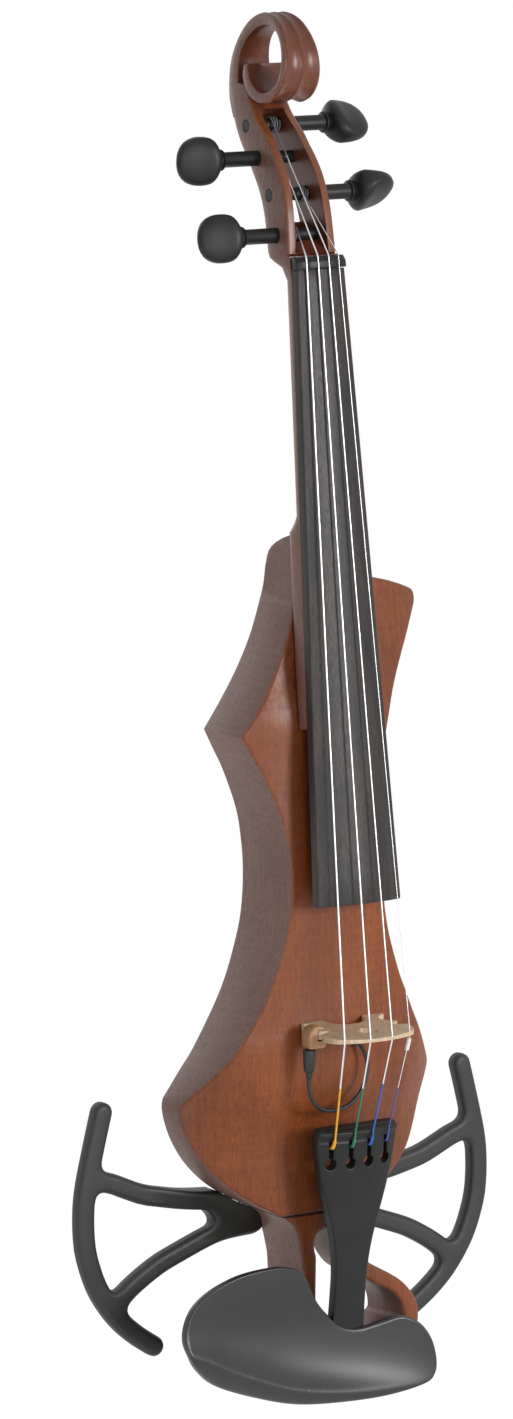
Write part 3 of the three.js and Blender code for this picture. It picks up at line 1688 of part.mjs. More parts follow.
function coverSolid() {
  let made = plate(coverOutline(0), -COVER.thickness - GAP, -GAP)
  for (const place of knobPlaces) {
    const middle = v2(place.x, place.z)
    const ringOf = (radius) => roundedRectangle(middle, radius, radius, radius, 4)
    const wellEnd = -CONTROL.wellDepth - CONTROL.wellWall
    made = made.add(plate(ringOf(CONTROL.wellRadius + CONTROL.wellWall), wellEnd, -GAP))
    made = made.subtract(plate(ringOf(CONTROL.wellRadius), -CONTROL.wellDepth, OVERRUN))
    made = made.subtract(plate(ringOf(CONTROL.shaftRadius + 2 * GAP), -CONTROL.wellDepth - OVERRUN, 0))
  }
  for (const place of coverScrews) {
    const at = (y) => place.clone().add(v3(0, y, 0))
    const hole = rod(at(-COVER.thickness - OVERRUN), at(OVERRUN), COVER.screwRadius + GAP, 12)
    const sink = rod(at(-COVER.thickness / 2), at(OVERRUN), COVER.screwHead + GAP, 16)
    made = made.subtract(solid(hole)).subtract(solid(sink))
  }
  return mainBody(made)
}

function coverScrewGeometry(place) {
  return turned(place.clone().add(v3(0, -COVER.screwLength, 0)), v3(0, 1, 0), [
    [0, 0],
    [COVER.screwLength * 0.15, COVER.screwRadius],
    [COVER.screwLength - COVER.thickness / 2 + GAP, COVER.screwRadius],
    [COVER.screwLength - COVER.thickness / 2 + GAP, COVER.screwHead],
    [COVER.screwLength - GAP, COVER.screwHead * 0.9],
    [COVER.screwLength - GAP, 0],
  ], 12)
}

/** A knurled knob that turns in its well, its cap just below the back face. */
function knobGeometry(place) {
  const points = []
  const ribs = 14
  for (let i = 0; i < ribs * 2; i++) {
    const angle = (i / (ribs * 2)) * 360 * DEG
    const radius = CONTROL.knobRadius * (i % 2 ? 0.95 : 1)
    points.push(v2(place.x + radius * Math.cos(angle), place.z + radius * Math.sin(angle)))
  }
  const knobTop = -2 * GAP
  const shell = solid(acrossY(points, knobTop - CONTROL.knobHeight, knobTop))
  const mark = block(
    v3(place.x - GAP, knobTop - GAP, place.z + CONTROL.knobRadius * 0.25),
    v3(place.x + GAP, knobTop + OVERRUN, place.z + CONTROL.knobRadius * 1.1)
  )
  const bore = rod(
    v3(place.x, knobTop - CONTROL.knobHeight - OVERRUN, place.z),
    v3(place.x, knobTop - CONTROL.knobHeight * 0.25, place.z),
    CONTROL.shaftRadius + RUN,
    24
  )
  return shell.subtract(solid(mark)).subtract(solid(bore))
}

/** A potentiometer behind the cover, with the shaft that its knob is pushed on. */
function potGeometry(place) {
  const floor = -CONTROL.wellDepth - CONTROL.wellWall - GAP
  const end = floor - CONTROL.potHeight
  const shaftTop = -2 * GAP - CONTROL.knobHeight * 0.3
  return turned(v3(place.x, end, place.z), v3(0, 1, 0), [
    [0, 0],
    [0, CONTROL.potRadius],
    [CONTROL.potHeight, CONTROL.potRadius],
    [CONTROL.potHeight, CONTROL.shaftRadius],
    [shaftTop - end, CONTROL.shaftRadius],
    [shaftTop - end, 0],
  ], 16)
}

function preampGeometry() {
  const half = COVER.halfWidth - COVER.ledge - 2 * GAP
  const low = COVER.bottom + COVER.ledge + 2 * GAP
  const high = CONTROL.along - CONTROL.potRadius - 4 * GAP
  const boardBackY = -COVER.cavityDepth + GAP
  const middle = v2(0, (low + high) / 2)
  const outline = roundedRectangle(middle, half, (high - low) / 2, COVER.corner - GAP, 3)
  let made = plate(outline, boardBackY, boardBackY + PREAMP.board)
  const partsOnBoard = [
    [-0.55, 0.5, 0.28, 0.6],
    [0.15, 0.62, 0.2, 0.8],
    [0.62, 0.35, 0.16, 1],
    [0.1, 0.2, 0.3, 0.4],
  ]
  for (const [x, z, size, height] of partsOnBoard) {
    const at = v3(x * half, boardBackY + PREAMP.board / 2, lerp(low, high, z))
    const reach = v3(size * half, 0, size * (high - low) * 0.4)
    const top = at.clone().add(reach).add(v3(0, height * PREAMP.partHeight, 0))
    made = made.add(solid(block(at.clone().sub(reach), top)))
  }
  return made
}

function batteryGeometry() {
  const low = bay.low + BATTERY.slack
  const outline = roundedRectangle(
    v2(0, -bay.depth + BATTERY.slack + BATTERY.thickness / 2),
    BATTERY.width / 2,
    BATTERY.thickness / 2,
    BATTERY.corner
  )
  const cell = extruded(outline, BATTERY.length - BATTERY.terminal)
  cell.translate(0, 0, low)
  let made = solid(cell)
  const y = -bay.depth + BATTERY.slack + BATTERY.thickness / 2
  for (const [x, radius] of [
    [-BATTERY.width / 4, BATTERY.smallTerminal],
    [BATTERY.width / 4, BATTERY.largeTerminal],
  ]) {
    const from = v3(x, y, low + BATTERY.length - BATTERY.terminal - GAP)
    made = made.add(solid(rod(from, v3(x, y, low + BATTERY.length), radius, 16)))
  }
  return made
}

function batteryClipGeometry() {
  const low = bay.low + BATTERY.slack + BATTERY.length + GAP
  const y = -bay.depth + BATTERY.slack
  return block(
    v3(-BATTERY.width / 2, y, low),
    v3(BATTERY.width / 2, y + BATTERY.thickness * 0.8, bay.high - GAP)
  )
}

/** The lid: a flush plate with a hinge barrel at its upper end and a finger notch at its lower. */
function lidSolid() {
  const outline = roundedRectangle(
    v2(0, (lidLow + hingeZ - BATTERY.hinge) / 2),
    lidHalf,
    (hingeZ - BATTERY.hinge - lidLow) / 2,
    lidLedge - GAP
  )
  let made = plate(outline, -BATTERY.lid - GAP, -GAP)
  const barrel = rod(v3(-lidHalf, hingeY, hingeZ), v3(lidHalf, hingeY, hingeZ), BATTERY.hinge, 16)
  const web = block(
    v3(-lidHalf, hingeY - GAP, hingeZ - 2 * BATTERY.hinge),
    v3(lidHalf, hingeY + BATTERY.hinge * 0.9, hingeZ)
  )
  made = made.add(solid(barrel)).add(solid(web))
  const boreEnd = v3(lidHalf + OVERRUN, hingeY, hingeZ)
  const bore = rod(v3(-boreEnd.x, hingeY, hingeZ), boreEnd, hingePin.radius + RUN, 16)
  made = made.subtract(solid(bore))
  const notch = rod(v3(0, -BATTERY.lid * 0.55, lidLow), v3(0, OVERRUN, lidLow), BATTERY.notch, 20)
  return mainBody(made.subtract(solid(notch)))
}

const hingePinGeometry = () =>
  rod(
    v3(-lidHalf - hingePin.reach, hingeY, hingeZ),
    v3(lidHalf + hingePin.reach, hingeY, hingeZ),
    hingePin.radius,
    12
  )

function jackSolid() {
  const inner = jackPoint(-JACK.length)
  const shell = turned(inner, jackOut, [
    [0, 0],
    [0, JACK.radius],
    [JACK.length - JACK.flangeWidth + GAP, JACK.radius],
    [JACK.length - JACK.flangeWidth + GAP, JACK.flange],
    [JACK.length, JACK.flange],
    [JACK.length, 0],
  ])
  const bore = rod(jackPoint(JACK.floor - JACK.length), jackPoint(OVERRUN), JACK.bore, 20)
  return solid(shell).subtract(solid(bore))
}

// Pickup, its strain relief and its lead

const pickupAt = v3(-BRIDGE.footHalfSpan, lerp(frontOfBody(-BRIDGE.footHalfSpan, 0), -bridgeTop, 0.31), 0)

function pickupSolid() {
  const face = roundedRectangle(v2(0, 0), PICKUP.width / 2, PICKUP.height / 2, PICKUP.round, 3)
  const shape = new THREE.Shape(face)
  const made = new THREE.ExtrudeGeometry(shape, {
    depth: PICKUP.depth - 2 * PICKUP.round,
    bevelEnabled: true,
    bevelThickness: PICKUP.round,
    bevelSize: PICKUP.round / 2,
    bevelOffset: -PICKUP.round / 2,
    bevelSegments: 3,
  })
  made.translate(pickupAt.x, pickupAt.y, -PICKUP.depth / 2 + PICKUP.round)
  const slot = block(
    v3(pickupAt.x - PICKUP.width * 0.12, pickupAt.y - PICKUP.height, -PICKUP.slot / 2),
    v3(pickupAt.x + PICKUP.width, pickupAt.y + PICKUP.height, PICKUP.slot / 2)
  )
  return mainBody(solid(made).subtract(solid(slot)))
}

const reliefTop = v3(pickupAt.x - PICKUP.width * 0.2, pickupAt.y, -PICKUP.depth / 2 - GAP)

function reliefGeometry() {
  return turned(reliefTop, v3(0, 0, -1), [
    [0, 0],
    [0, LEAD.reliefRadius * 0.9],
    [LEAD.reliefLength * 0.1, LEAD.reliefRadius],
    [LEAD.reliefLength * 0.72, LEAD.reliefRadius * 0.85],
    [LEAD.reliefLength * 0.78, LEAD.diameter * 0.8],
    [LEAD.reliefLength, LEAD.diameter * 0.68],
    [LEAD.reliefLength, 0],
  ], 16)
}

/** Places of the lead's route across and along, as shares of the bridge's half width. */
const leadShares = [
  [-1.015, -1.1],
  [-0.92, -1.31],
  [-0.74, -1.46],
  [-0.5, -1.53],
  [-0.24, -1.52],
  [0, -1.44],
  [0.2, -1.28],
  [0.34, -1.08],
  [0.41, -0.86],
  [0.41, -0.64],
  [0.35, -0.45],
  [0.28, -0.33],
]

/** The lead's route from the strain relief round to its hole behind the bridge. */
function leadRoute() {
  const start = reliefTop.clone().add(v3(0, 0, -LEAD.reliefLength - GAP))
  const surface = frontOfBody(leadEntry.x, leadEntry.z)
  const high = lerp(surface, start.y, 0.45)
  const points = leadShares.map(([x, z], i) => {
    const share = i / leadShares.length
    return v3(x * BRIDGE.halfWidth, lerp(start.y, high, share), z * BRIDGE.halfWidth)
  })
  const above = v3(leadEntry.x, surface - grommet.flangeHeight - 2 * LEAD.diameter, leadEntry.z)
  const inside = v3(leadEntry.x, surface - GAP, leadEntry.z)
  return [start, start.clone().add(v3(0, 0, -LEAD.diameter * 1.5)), ...points, above, inside]
}

function grommetSolid() {
  const surface = frontOfBody(leadEntry.x, leadEntry.z)
  const top = surface - GAP
  const shell = turned(v3(leadEntry.x, top - grommet.flangeHeight, leadEntry.z), v3(0, 1, 0), [
    [0, 0],
    [0, grommet.flange * 0.8],
    [grommet.flangeHeight * 0.5, grommet.flange],
    [grommet.flangeHeight, grommet.flange],
    [grommet.flangeHeight, grommet.hole - GAP],
    [grommet.flangeHeight + grommet.depth, grommet.hole - GAP],
    [grommet.flangeHeight + grommet.depth, 0],
  ], 20)
  const end = top + grommet.depth + OVERRUN
  const bore = rod(
    v3(leadEntry.x, top - OVERRUN, leadEntry.z),
    v3(leadEntry.x, end, leadEntry.z),
    LEAD.diameter / 2 + GAP / 2,
    12
  )
  return solid(shell).subtract(solid(bore))
}

// Nut

function nutSolid() {
  const half = FINGERBOARD.nutWidth / 2
  const back = boardBackAtNut
  const crown = (x) => archDrop(Math.abs(x)) - NUT.aboveBoard + GAP
  const ring = (along, lower) => [
    v3(-half, back, along),
    ...spread(-half, half, 12).map((x) => v3(x, crown(x) + lower, along)),
    v3(half, back, along),
  ]
  const rings = [ring(0, 0), ring(NUT.thickness * 0.55, 0), ring(NUT.thickness, FINGERBOARD.side * 0.45)]
  let made = solid(loft(rings))
  for (const i of STRINGS.names.keys()) {
    const path = [stringAtNut(i), stringAtNut(i)]
    path[0].z = -OVERRUN
    path[1].z = NUT.thickness + OVERRUN
    made = made.subtract(solid(rod(path[0], path[1], stringRadius(i) + GAP, 10)))
  }
  return mainBody(made)
}

// Pegs

function pegSolid(peg) {
  const cheekFar = headHalf(peg.along)
  const inside = cheekFar - PEGBOX.cheek
  const collarX = headHalf(0) + PEG.neckLength - GAP
  const collar = cheekFar + collarX
  const shaft = turned(v3(-cheekFar, 0, 0), v3(1, 0, 0), [
    [0, 0],
    [0, PEG.shaft * 0.9],
    [PEG.shaft * 0.2, PEG.shaft],
    [cheekFar + inside + GAP, PEG.shaft],
    [cheekFar + inside + 2 * GAP, PEG.shoulder],
    [collar, PEG.shoulder],
    [collar, PEG.collarRadius * 0.9],
    [collar + PEG.collarWidth * 0.3, PEG.collarRadius],
    [collar + PEG.collarWidth * 0.45, PEG.collarRadius * 0.82],
    [collar + PEG.collarWidth * 0.6, PEG.collarRadius],
    [collar + PEG.collarWidth, PEG.collarRadius * 0.95],
    [collar + PEG.collarWidth * 1.6, 0],
  ], 14)
  const thumbShares = [
    [0, 0.42, 0.6],
    [0.07, 0.65, 0.84],
    [0.2, 0.92, 1],
    [0.4, 1, 0.9],
    [0.6, 0.97, 0.73],
    [0.78, 0.83, 0.56],
    [0.92, 0.56, 0.36],
    [1, 0.14, 0.08],
  ]
  const start = collarX + PEG.collarWidth * 0.8
  const rings = thumbShares.map(([along, wide, thick]) => {
    const x = start + along * PEG.thumbLength
    const deep = thick * PEG.thumbHalfThick
    const high = wide * PEG.thumbHalfWidth
    return Array.from({ length: 14 }, (_, k) => {
      const angle = (k / 14) * 360 * DEG
      return v3(x, deep * Math.cos(angle), high * Math.sin(angle))
    })
  })
  return solid(shaft).add(solid(loft(rings)))
}

// Assembly

add(violin, 'body', bodySolid(), stainedMaple)
add(violin, 'tail_frame', tailFrameSolid(), stainedMaple)
dowelPlaces.forEach((place, i) => {
  const from = place.clone().add(v3(0, 0, -dowelReachBelow()))
  const pin = rod(from, from.clone().add(v3(0, 0, dowel.length)), dowel.radius, 16)
  add(violin, i ? 'tail_dowel_treble' : 'tail_dowel_bass', pin, bridgeMaple)
})

add(neckGroup, 'neck', neckSolid(), stainedMaple)
add(neckGroup, 'fingerboard', fingerboardSolid(), ebony)
add(neckGroup, 'nut', nutSolid(), ebony)
for (const peg of pegTable) {
  const holder = new THREE.Group()
  holder.position.set(0, peg.back, peg.along)
  holder.rotation.set(peg.turn, 0, peg.side < 0 ? Math.PI : 0)
  neckGroup.add(holder)
  add(holder, `peg_${STRINGS.names[peg.string]}`, pegSolid(peg), satinBlack)
}

for (const [i, name] of STRINGS.names.entries()) {
  add(violin, `string_${name}`, wire(stringPath(i), stringRadius(i), 6), steel)
  const gap = leastTurnGap(windingPoints(i), STRINGS.diameters[i], 9)
  console.log(`least gap between the turns of string ${name}: ${gap.toFixed(2)} mm`)
}

add(violin, 'string_e_sleeve', sleeveSolid(STRINGS.names.indexOf('e')), clearSleeve)
add(violin, 'bridge', bridgeSolid(), bridgeMaple)
add(violin, 'pickup', pickupSolid(), pickupWood)
add(violin, 'pickup_strain_relief', reliefGeometry(), cordBlack)
const leadCurve = new THREE.CatmullRomCurve3(leadRoute(), false, 'centripetal')
add(violin, 'pickup_lead', tube(leadCurve, LEAD.diameter / 2, 6, 32), cordBlack)
add(violin, 'lead_grommet', grommetSolid(), cordBlack)

add(tailGroup, 'tailpiece', tailpieceSolid(), satinBlack)
add(violin, 'tail_gut', gutGeometry(), cordBlack)
add(violin, 'saddle', saddleGeometry(), ebony)
add(violin, 'end_button', buttonGeometry(), ebony)

add(violin, 'chinrest', chinrestSolid(), satinBlack)
add(violin, 'chinrest_cork_front', corkGeometry(-TAIL.depth - GAP - CHINREST.cork), corkBrown)
add(violin, 'chinrest_cork_back', corkGeometry(GAP), corkBrown)
add(violin, 'chinrest_clamp_plate', clampPlateSolid(), nickel)
barrelXs.forEach((x, i) => {
  add(violin, `chinrest_barrel_${i ? 'inner' : 'outer'}`, barrelGeometry(x), nickel)
})

add(violin, 'wing_bass', wingSolid(-1), matteBlack)
add(violin, 'wing_treble', wingSolid(1), matteBlack)
for (const { name, pin } of wingPins) add(violin, name, pin, steel)

add(violin, 'back_cover', coverSolid(), satinBlack)
coverScrews.forEach((place, i) => add(violin, `cover_screw_${i + 1}`, coverScrewGeometry(place), nickel))
knobPlaces.forEach((place, i) => {
  const name = i ? 'tone' : 'volume'
  add(violin, `${name}_pot`, potGeometry(place), nickel)
  add(violin, `${name}_knob`, knobGeometry(place), satinBlack)
})
add(violin, 'preamp_board', preampGeometry(), boardGreen)
add(violin, 'battery', batteryGeometry(), cellGrey)
add(violin, 'battery_clip', batteryClipGeometry(), satinBlack)
add(violin, 'battery_lid', lidSolid(), satinBlack)
add(violin, 'lid_hinge_pin', hingePinGeometry(), nickel)
add(violin, 'output_jack', jackSolid(), nickel)

export default violin
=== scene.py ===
"""Electric violin with an open ring scroll and two side wings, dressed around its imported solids.

Sizes are in millimetres in the frame of the solids: the back face lies on Y = 0, the front
looks along -Y, +Z runs to the scroll and +X is the treble side. A mould is cast in metres.
"""

import logging
import math
from dataclasses import dataclass
from enum import Enum
from typing import Callable, Mapping, Optional, Sequence, TypeVar, Union

import bmesh
import bpy
from mathutils import Matrix, Vector


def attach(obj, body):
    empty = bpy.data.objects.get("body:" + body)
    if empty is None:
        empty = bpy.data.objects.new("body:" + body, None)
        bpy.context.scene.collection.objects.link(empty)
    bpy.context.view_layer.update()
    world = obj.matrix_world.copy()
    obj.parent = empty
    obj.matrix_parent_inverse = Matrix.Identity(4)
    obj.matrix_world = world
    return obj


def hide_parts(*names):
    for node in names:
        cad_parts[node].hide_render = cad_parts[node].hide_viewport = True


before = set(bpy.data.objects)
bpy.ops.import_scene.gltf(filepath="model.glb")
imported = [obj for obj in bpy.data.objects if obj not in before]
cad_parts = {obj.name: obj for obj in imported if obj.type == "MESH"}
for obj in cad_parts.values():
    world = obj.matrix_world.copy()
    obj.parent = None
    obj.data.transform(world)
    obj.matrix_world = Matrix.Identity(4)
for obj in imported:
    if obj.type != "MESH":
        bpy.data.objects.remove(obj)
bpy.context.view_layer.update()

LOG = logging.getLogger("violin")
MM = 0.001
ROOT = "violin"
GAP = 0.3
CURVE_STEPS = 12

Table = Sequence[tuple[float, float]]
Outline = list[Vector]
Law = Callable[[float, float], float]
Chooser = Callable[[bmesh.types.BMFace], int]
Value = TypeVar("Value", float, Vector)


# Curves and tables


def clamp(value: float, low: float = 0.0, high: float = 1.0) -> float:
    """Holds a value between two limits."""
    return min(max(value, low), high)


def lerp(start: float, end: float, share: float) -> float:
    """Value at a share of the way from start to end."""
    return start + (end - start) * share


def spread(start: float, end: float, steps: int) -> list[float]:
    """Evenly spaced values from start to end, both included."""
    return [lerp(start, end, i / steps) for i in range(steps + 1)]


def level(value: float) -> Law:
    """Law of a face that lies at one depth."""
    return lambda x, z: value


def corners(sides: int) -> list[float]:
    """Directions of the corners of a section with that many sides."""
    return [2 * math.pi * k / sides for k in range(sides)]


def arc(centre: Vector, radius: float, start: float, end: float, steps: int) -> Outline:
    """Points on an arc in a plane.

    Args:
        centre: of the arc.
        radius: of the arc.
        start: first angle in degrees.
        end: last angle in degrees.
        steps: number of even steps.

    Returns:
        The steps + 1 points.
    """
    turns = (math.radians(angle) for angle in spread(start, end, steps))
    return [centre + radius * Vector((math.cos(turn), math.sin(turn))) for turn in turns]


def smooth(start: Value, end: Value, leave: Value, arrive: Value, t: float) -> Value:
    """Cubic between two values with a given slope at each.

    Args:
        start: the first value.
        end: the last value.
        leave: slope at the start, per whole span.
        arrive: slope at the end, per whole span.
        t: share of the way.

    Returns:
        The value there.
    """
    return (
        (2 * t**3 - 3 * t**2 + 1) * start
        + (t**3 - 2 * t**2 + t) * leave
        + (3 * t**2 - 2 * t**3) * end
        + (t**3 - t**2) * arrive
    )


def line_length(points: Sequence[Vector]) -> float:
    """Length of a line of straight pieces."""
    return sum((after - before).length for before, after in zip(points, points[1:]))


def even_line(points: Sequence[Vector], steps: int) -> list[Vector]:
    """Spaces points evenly along a line of straight pieces.

    Args:
        points: the line's corners in order.
        steps: number of even steps.

    Returns:
        The steps + 1 places along the line.
    """
    reach = [0.0]
    for before, after in zip(points, points[1:]):
        reach.append(reach[-1] + (after - before).length)
    places, k = [], 0
    for target in spread(0, reach[-1], steps):
        while k < len(points) - 2 and reach[k + 1] < target:
            k += 1
        span = reach[k + 1] - reach[k] or 1.0
        places.append(points[k].lerp(points[k + 1], min((target - reach[k]) / span, 1.0)))
    return places


def even_curve(points: Sequence[Vector], steps: int) -> list[Vector]:
    """Spaces points evenly along a smooth curve through the given ones.

    Args:
        points: places that the curve passes.
        steps: number of even steps.

    Returns:
        The steps + 1 places along the curve.
    """
    fine, last = [], len(points) - 1
    for i in range(last):
        start, end = points[i], points[i + 1]
        leave = (end - points[max(i - 1, 0)]) / 2
        arrive = (points[min(i + 2, last)] - start) / 2
        for step in range(CURVE_STEPS):
            fine.append(smooth(start, end, leave, arrive, step / CURVE_STEPS))
    fine.append(points[last])
    return even_line(fine, steps)


def read_table(table: Table, place: float) -> float:
    """Reads a table of place and value pairs, smooth between them.

    Args:
        table: the pairs, in any order.
        place: where to read.

    Returns:
        The value there, held level beyond both ends.
    """
    rows = sorted(table)
    if place <= rows[0][0]:
        return rows[0][1]
    if place >= rows[-1][0]:
        return rows[-1][1]
    i = next(k for k, row in enumerate(rows) if row[0] > place) - 1
    span = rows[i + 1][0] - rows[i][0]

    def rise(k: int) -> float:
        """Rise of the table at a row, per span."""
        a, b = rows[max(k - 1, 0)], rows[min(k + 1, len(rows) - 1)]
        return span * (b[1] - a[1]) / (b[0] - a[0])

    return smooth(rows[i][1], rows[i + 1][1], rise(i), rise(i + 1), (place - rows[i][0]) / span)


def plan(shares: Table, place: Callable[[float, float], tuple[float, float]]) -> Outline:
    """Turns shares into places on a plane.

    Args:
        shares: pairs of shares.
        place: gives the two lengths for a pair of shares.

    Returns:
        The places as vectors.
    """
    return [Vector(place(a, b)) for a, b in shares]


# Moulds


def put_in_scene(name: str, data: bpy.types.ID) -> bpy.types.Object:
    """Makes an object of some data and links it to the scene.

    Args:
        name: of the object.
        data: its mesh, curve, camera or lamp.

    Returns:
        The object.
    """
    made = bpy.data.objects.new(name, data)
    bpy.context.scene.collection.objects.link(made)
    return made


def discard(made: bpy.types.Object) -> None:
    """Removes an object and its mesh."""
    data = made.data
    bpy.data.objects.remove(made)
    bpy.data.meshes.remove(data)


class Join(Enum):
    """Ways to combine two moulds."""

    ADD = "UNION"
    CUT = "DIFFERENCE"


class Mould:
    """A mesh under construction, in millimetres."""

    weld: float = 0.002
    flat_angle: float = 0.3

    def __init__(self) -> None:
        """Starts an empty mould."""
        self.mesh = bmesh.new()

    @classmethod
    def of_node(cls, node: str) -> "Mould":
        """Copies a solid and merges its loose triangles.

        Args:
            node: the solid's name.

        Returns:
            The mould.
        """
        made, flat = cls(), math.radians(cls.flat_angle)
        mesh = made.mesh
        mesh.from_mesh(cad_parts[node].data)
        made.move(Matrix.Scale(1 / MM, 4))
        bmesh.ops.remove_doubles(mesh, verts=mesh.verts, dist=cls.weld)
        bmesh.ops.dissolve_limit(mesh, angle_limit=flat, verts=mesh.verts, edges=mesh.edges)
        return made

    @classmethod
    def box(cls, low: Sequence[float], high: Sequence[float]) -> "Mould":
        """Makes a block between two corners.

        Args:
            low: its corner with the least X, Y and Z.
            high: the opposite corner.

        Returns:
            The mould.
        """
        made = cls()
        middle = (Vector(low) + Vector(high)) / 2
        size = Vector(high) - Vector(low)
        matrix = Matrix.Translation(middle) @ Matrix.Diagonal((*size, 1.0))
        bmesh.ops.create_cube(made.mesh, size=1.0, matrix=matrix)
        return made

    @classmethod
    def rod(cls, start: Vector, end: Vector, radius: float, sides: int = 32) -> "Mould":
        """Makes a straight rod between two points."""
        return cls().turn(start, end - start, ((0, radius), ((end - start).length, radius)), sides)

    def skin(self, rings: Sequence[Sequence[Vector]]) -> "Mould":
        """Stretches a closed skin over rings of equally many points.

        Args:
            rings: the rings in order.

        Returns:
            This mould.
        """
        mesh, count = self.mesh, len(rings[0])
        line = [mesh.verts.new(point) for point in rings[0]]
        edges = [mesh.edges.new((line[k], line[(k + 1) % count])) for k in range(count)]
        first = list(edges)
        for ring in rings[1:]:
            made = bmesh.ops.extrude_edge_only(mesh, edges=edges)["geom"]
            fresh = {item for item in made if isinstance(item, bmesh.types.BMVert)}
            moved = []
            for vert, place in zip(line, ring):
                others = (edge.other_vert(vert) for edge in vert.link_edges)
                twin = next(other for other in others if other in fresh)
                twin.co = place
                moved.append(twin)
            line = moved
            edges = [mesh.edges.get((line[k], line[(k + 1) % count])) for k in range(count)]
        bmesh.ops.contextual_create(mesh, geom=first)
        bmesh.ops.contextual_create(mesh, geom=edges)
        bmesh.ops.recalc_face_normals(mesh, faces=mesh.faces)
        return self

    def turn(self, start: Vector, way: Vector, pairs: Table, sides: int = 48) -> "Mould":
        """Turns a piece about an axis.

        Args:
            start: a point on the axis.
            way: the axis.
            pairs: distance along the axis and radius, in order.
            sides: number of sides.

        Returns:
            This mould.
        """
        pose = Vector(way).normalized().to_track_quat("Z", "Y").to_matrix().to_4x4()
        pose = Matrix.Translation(start) @ pose
        rings = []
        for along, radius in pairs:
            places = [(radius * math.cos(a), radius * math.sin(a), along) for a in corners(sides)]
            rings.append([pose @ Vector(place) for place in places])
        return self.skin(rings)

    def tube(
        self, points: Sequence[Vector], radius: float | Sequence[float], sides: int = 12
    ) -> "Mould":
        """Runs a tube along a line of points.

        Args:
            points: the line's places.
            radius: of the tube, one for all of it or one for every place.
            sides: of its section.

        Returns:
            This mould.
        """
        rings, last = [], len(points) - 1
        radii = radius if isinstance(radius, Sequence) else [radius] * len(points)
        across = Vector((1, 0, 0))
        if abs((points[1] - points[0]).normalized().x) > 0.9:
            across = Vector((0, 1, 0))
        for i, point in enumerate(points):
            way = (points[min(i + 1, last)] - points[max(i - 1, 0)]).normalized()
            across = (across - way * across.dot(way)).normalized()
            other = way.cross(across)
            spokes = [across * math.cos(a) + other * math.sin(a) for a in corners(sides)]
            rings.append([point + radii[i] * spoke for spoke in spokes])
        return self.skin(rings)

    def slab(
        self,
        outlines: Sequence[Outline],
        front: Law,
        back: Law,
        rims: tuple[float, float],
        grid: tuple[Sequence[float], Sequence[float]] = ((), ()),
        rim_steps: int = 4,
    ) -> "Mould":
        """Makes a plate with its outline in X and Z and rounded rims.

        Args:
            outlines: the outline, and then those of its holes.
            front: Y of the front at a place in X and Z.
            back: Y of the back at a place in X and Z.
            rims: radius of the front and of the back rim.
            grid: places in X and in Z at which both faces are divided.
            rim_steps: steps round a rim.

        Returns:
            This mould.
        """
        mesh = self.mesh
        mark = mesh.faces.layers.int.new("side")
        drop = mesh.verts.layers.float.new("drop")
        edges = []
        for outline in outlines:
            verts = [mesh.verts.new((point.x, -1.0, point.y)) for point in outline]
            edges += [mesh.edges.new((verts[k - 1], verts[k])) for k in range(len(verts))]
        bmesh.ops.triangle_fill(mesh, edges=edges, use_beauty=True)
        self._round(list(mesh.faces), rims[0], rim_steps, mark, drop)
        rim = [edge for edge in mesh.edges if edge.is_boundary]
        made = bmesh.ops.extrude_edge_only(mesh, edges=rim)["geom"]
        for vert in (item for item in made if isinstance(item, bmesh.types.BMVert)):
            vert.co.y = 1.0
        before = set(mesh.faces)
        rim = [edge for edge in mesh.edges if edge.is_boundary]
        bmesh.ops.triangle_fill(mesh, edges=rim, use_beauty=True)
        caps = [face for face in mesh.faces if face not in before]
        self._round(caps, rims[1], rim_steps, mark, drop)
        for axis, places in zip((0, 2), grid):
            for place in places:
                self._divide(mark, axis, place)
        for vert in mesh.verts:
            if vert.co.y < 0:
                vert.co.y = front(vert.co.x, vert.co.z) + vert[drop]
            else:
                vert.co.y = back(vert.co.x, vert.co.z) - vert[drop]
        bmesh.ops.recalc_face_normals(mesh, faces=mesh.faces)
        return self

    def _round(
        self,
        region: list[bmesh.types.BMFace],
        radius: float,
        steps: int,
        mark: bmesh.types.BMLayerItem,
        drop: bmesh.types.BMLayerItem,
    ) -> None:
        """Rings a flat region with insets and notes how far each ring lies below its face.

        Args:
            region: the faces.
            radius: of the rounded rim.
            steps: number of rings.
            mark: layer that marks the faces inside the rings.
            drop: layer that holds the depth below the face.
        """
        for vert in (vert for face in region for vert in face.verts):
            vert[drop] = radius
        gone = 0.0
        for step in range(1, steps + 1):
            angle = math.pi / 2 * step / steps
            reach = radius * (1 - math.cos(angle))
            bmesh.ops.inset_region(
                self.mesh, faces=region, use_boundary=True, use_even_offset=True,
                thickness=reach - gone, depth=0.0,
            )
            gone = reach
            for vert in (vert for face in region for vert in face.verts):
                vert[drop] = radius * (1 - math.sin(angle))
        for face in region:
            face[mark] = 1

    def _divide(self, mark: bmesh.types.BMLayerItem, axis: int, place: float) -> None:
        """Divides the marked faces by a plane square to an axis.

        Args:
            mark: layer that marks them.
            axis: 0 for X and 2 for Z.
            place: of the plane on the axis.
        """
        near = []
        for face in (face for face in self.mesh.faces if face[mark]):
            places = [vert.co[axis] for vert in face.verts]
            if min(places) < place < max(places):
                near.append(face)
        if not near:
            return
        geometry = {item for face in near for item in (*face.verts, *face.edges, face)}
        point, normal = Vector(), Vector()
        point[axis], normal[axis] = place, 1.0
        bmesh.ops.bisect_plane(
            self.mesh, geom=list(geometry), dist=0.001, plane_co=point, plane_no=normal
        )

    def move(self, pose: Matrix) -> "Mould":
        """Moves the whole mould."""
        bmesh.ops.transform(self.mesh, matrix=pose, verts=self.mesh.verts)
        return self

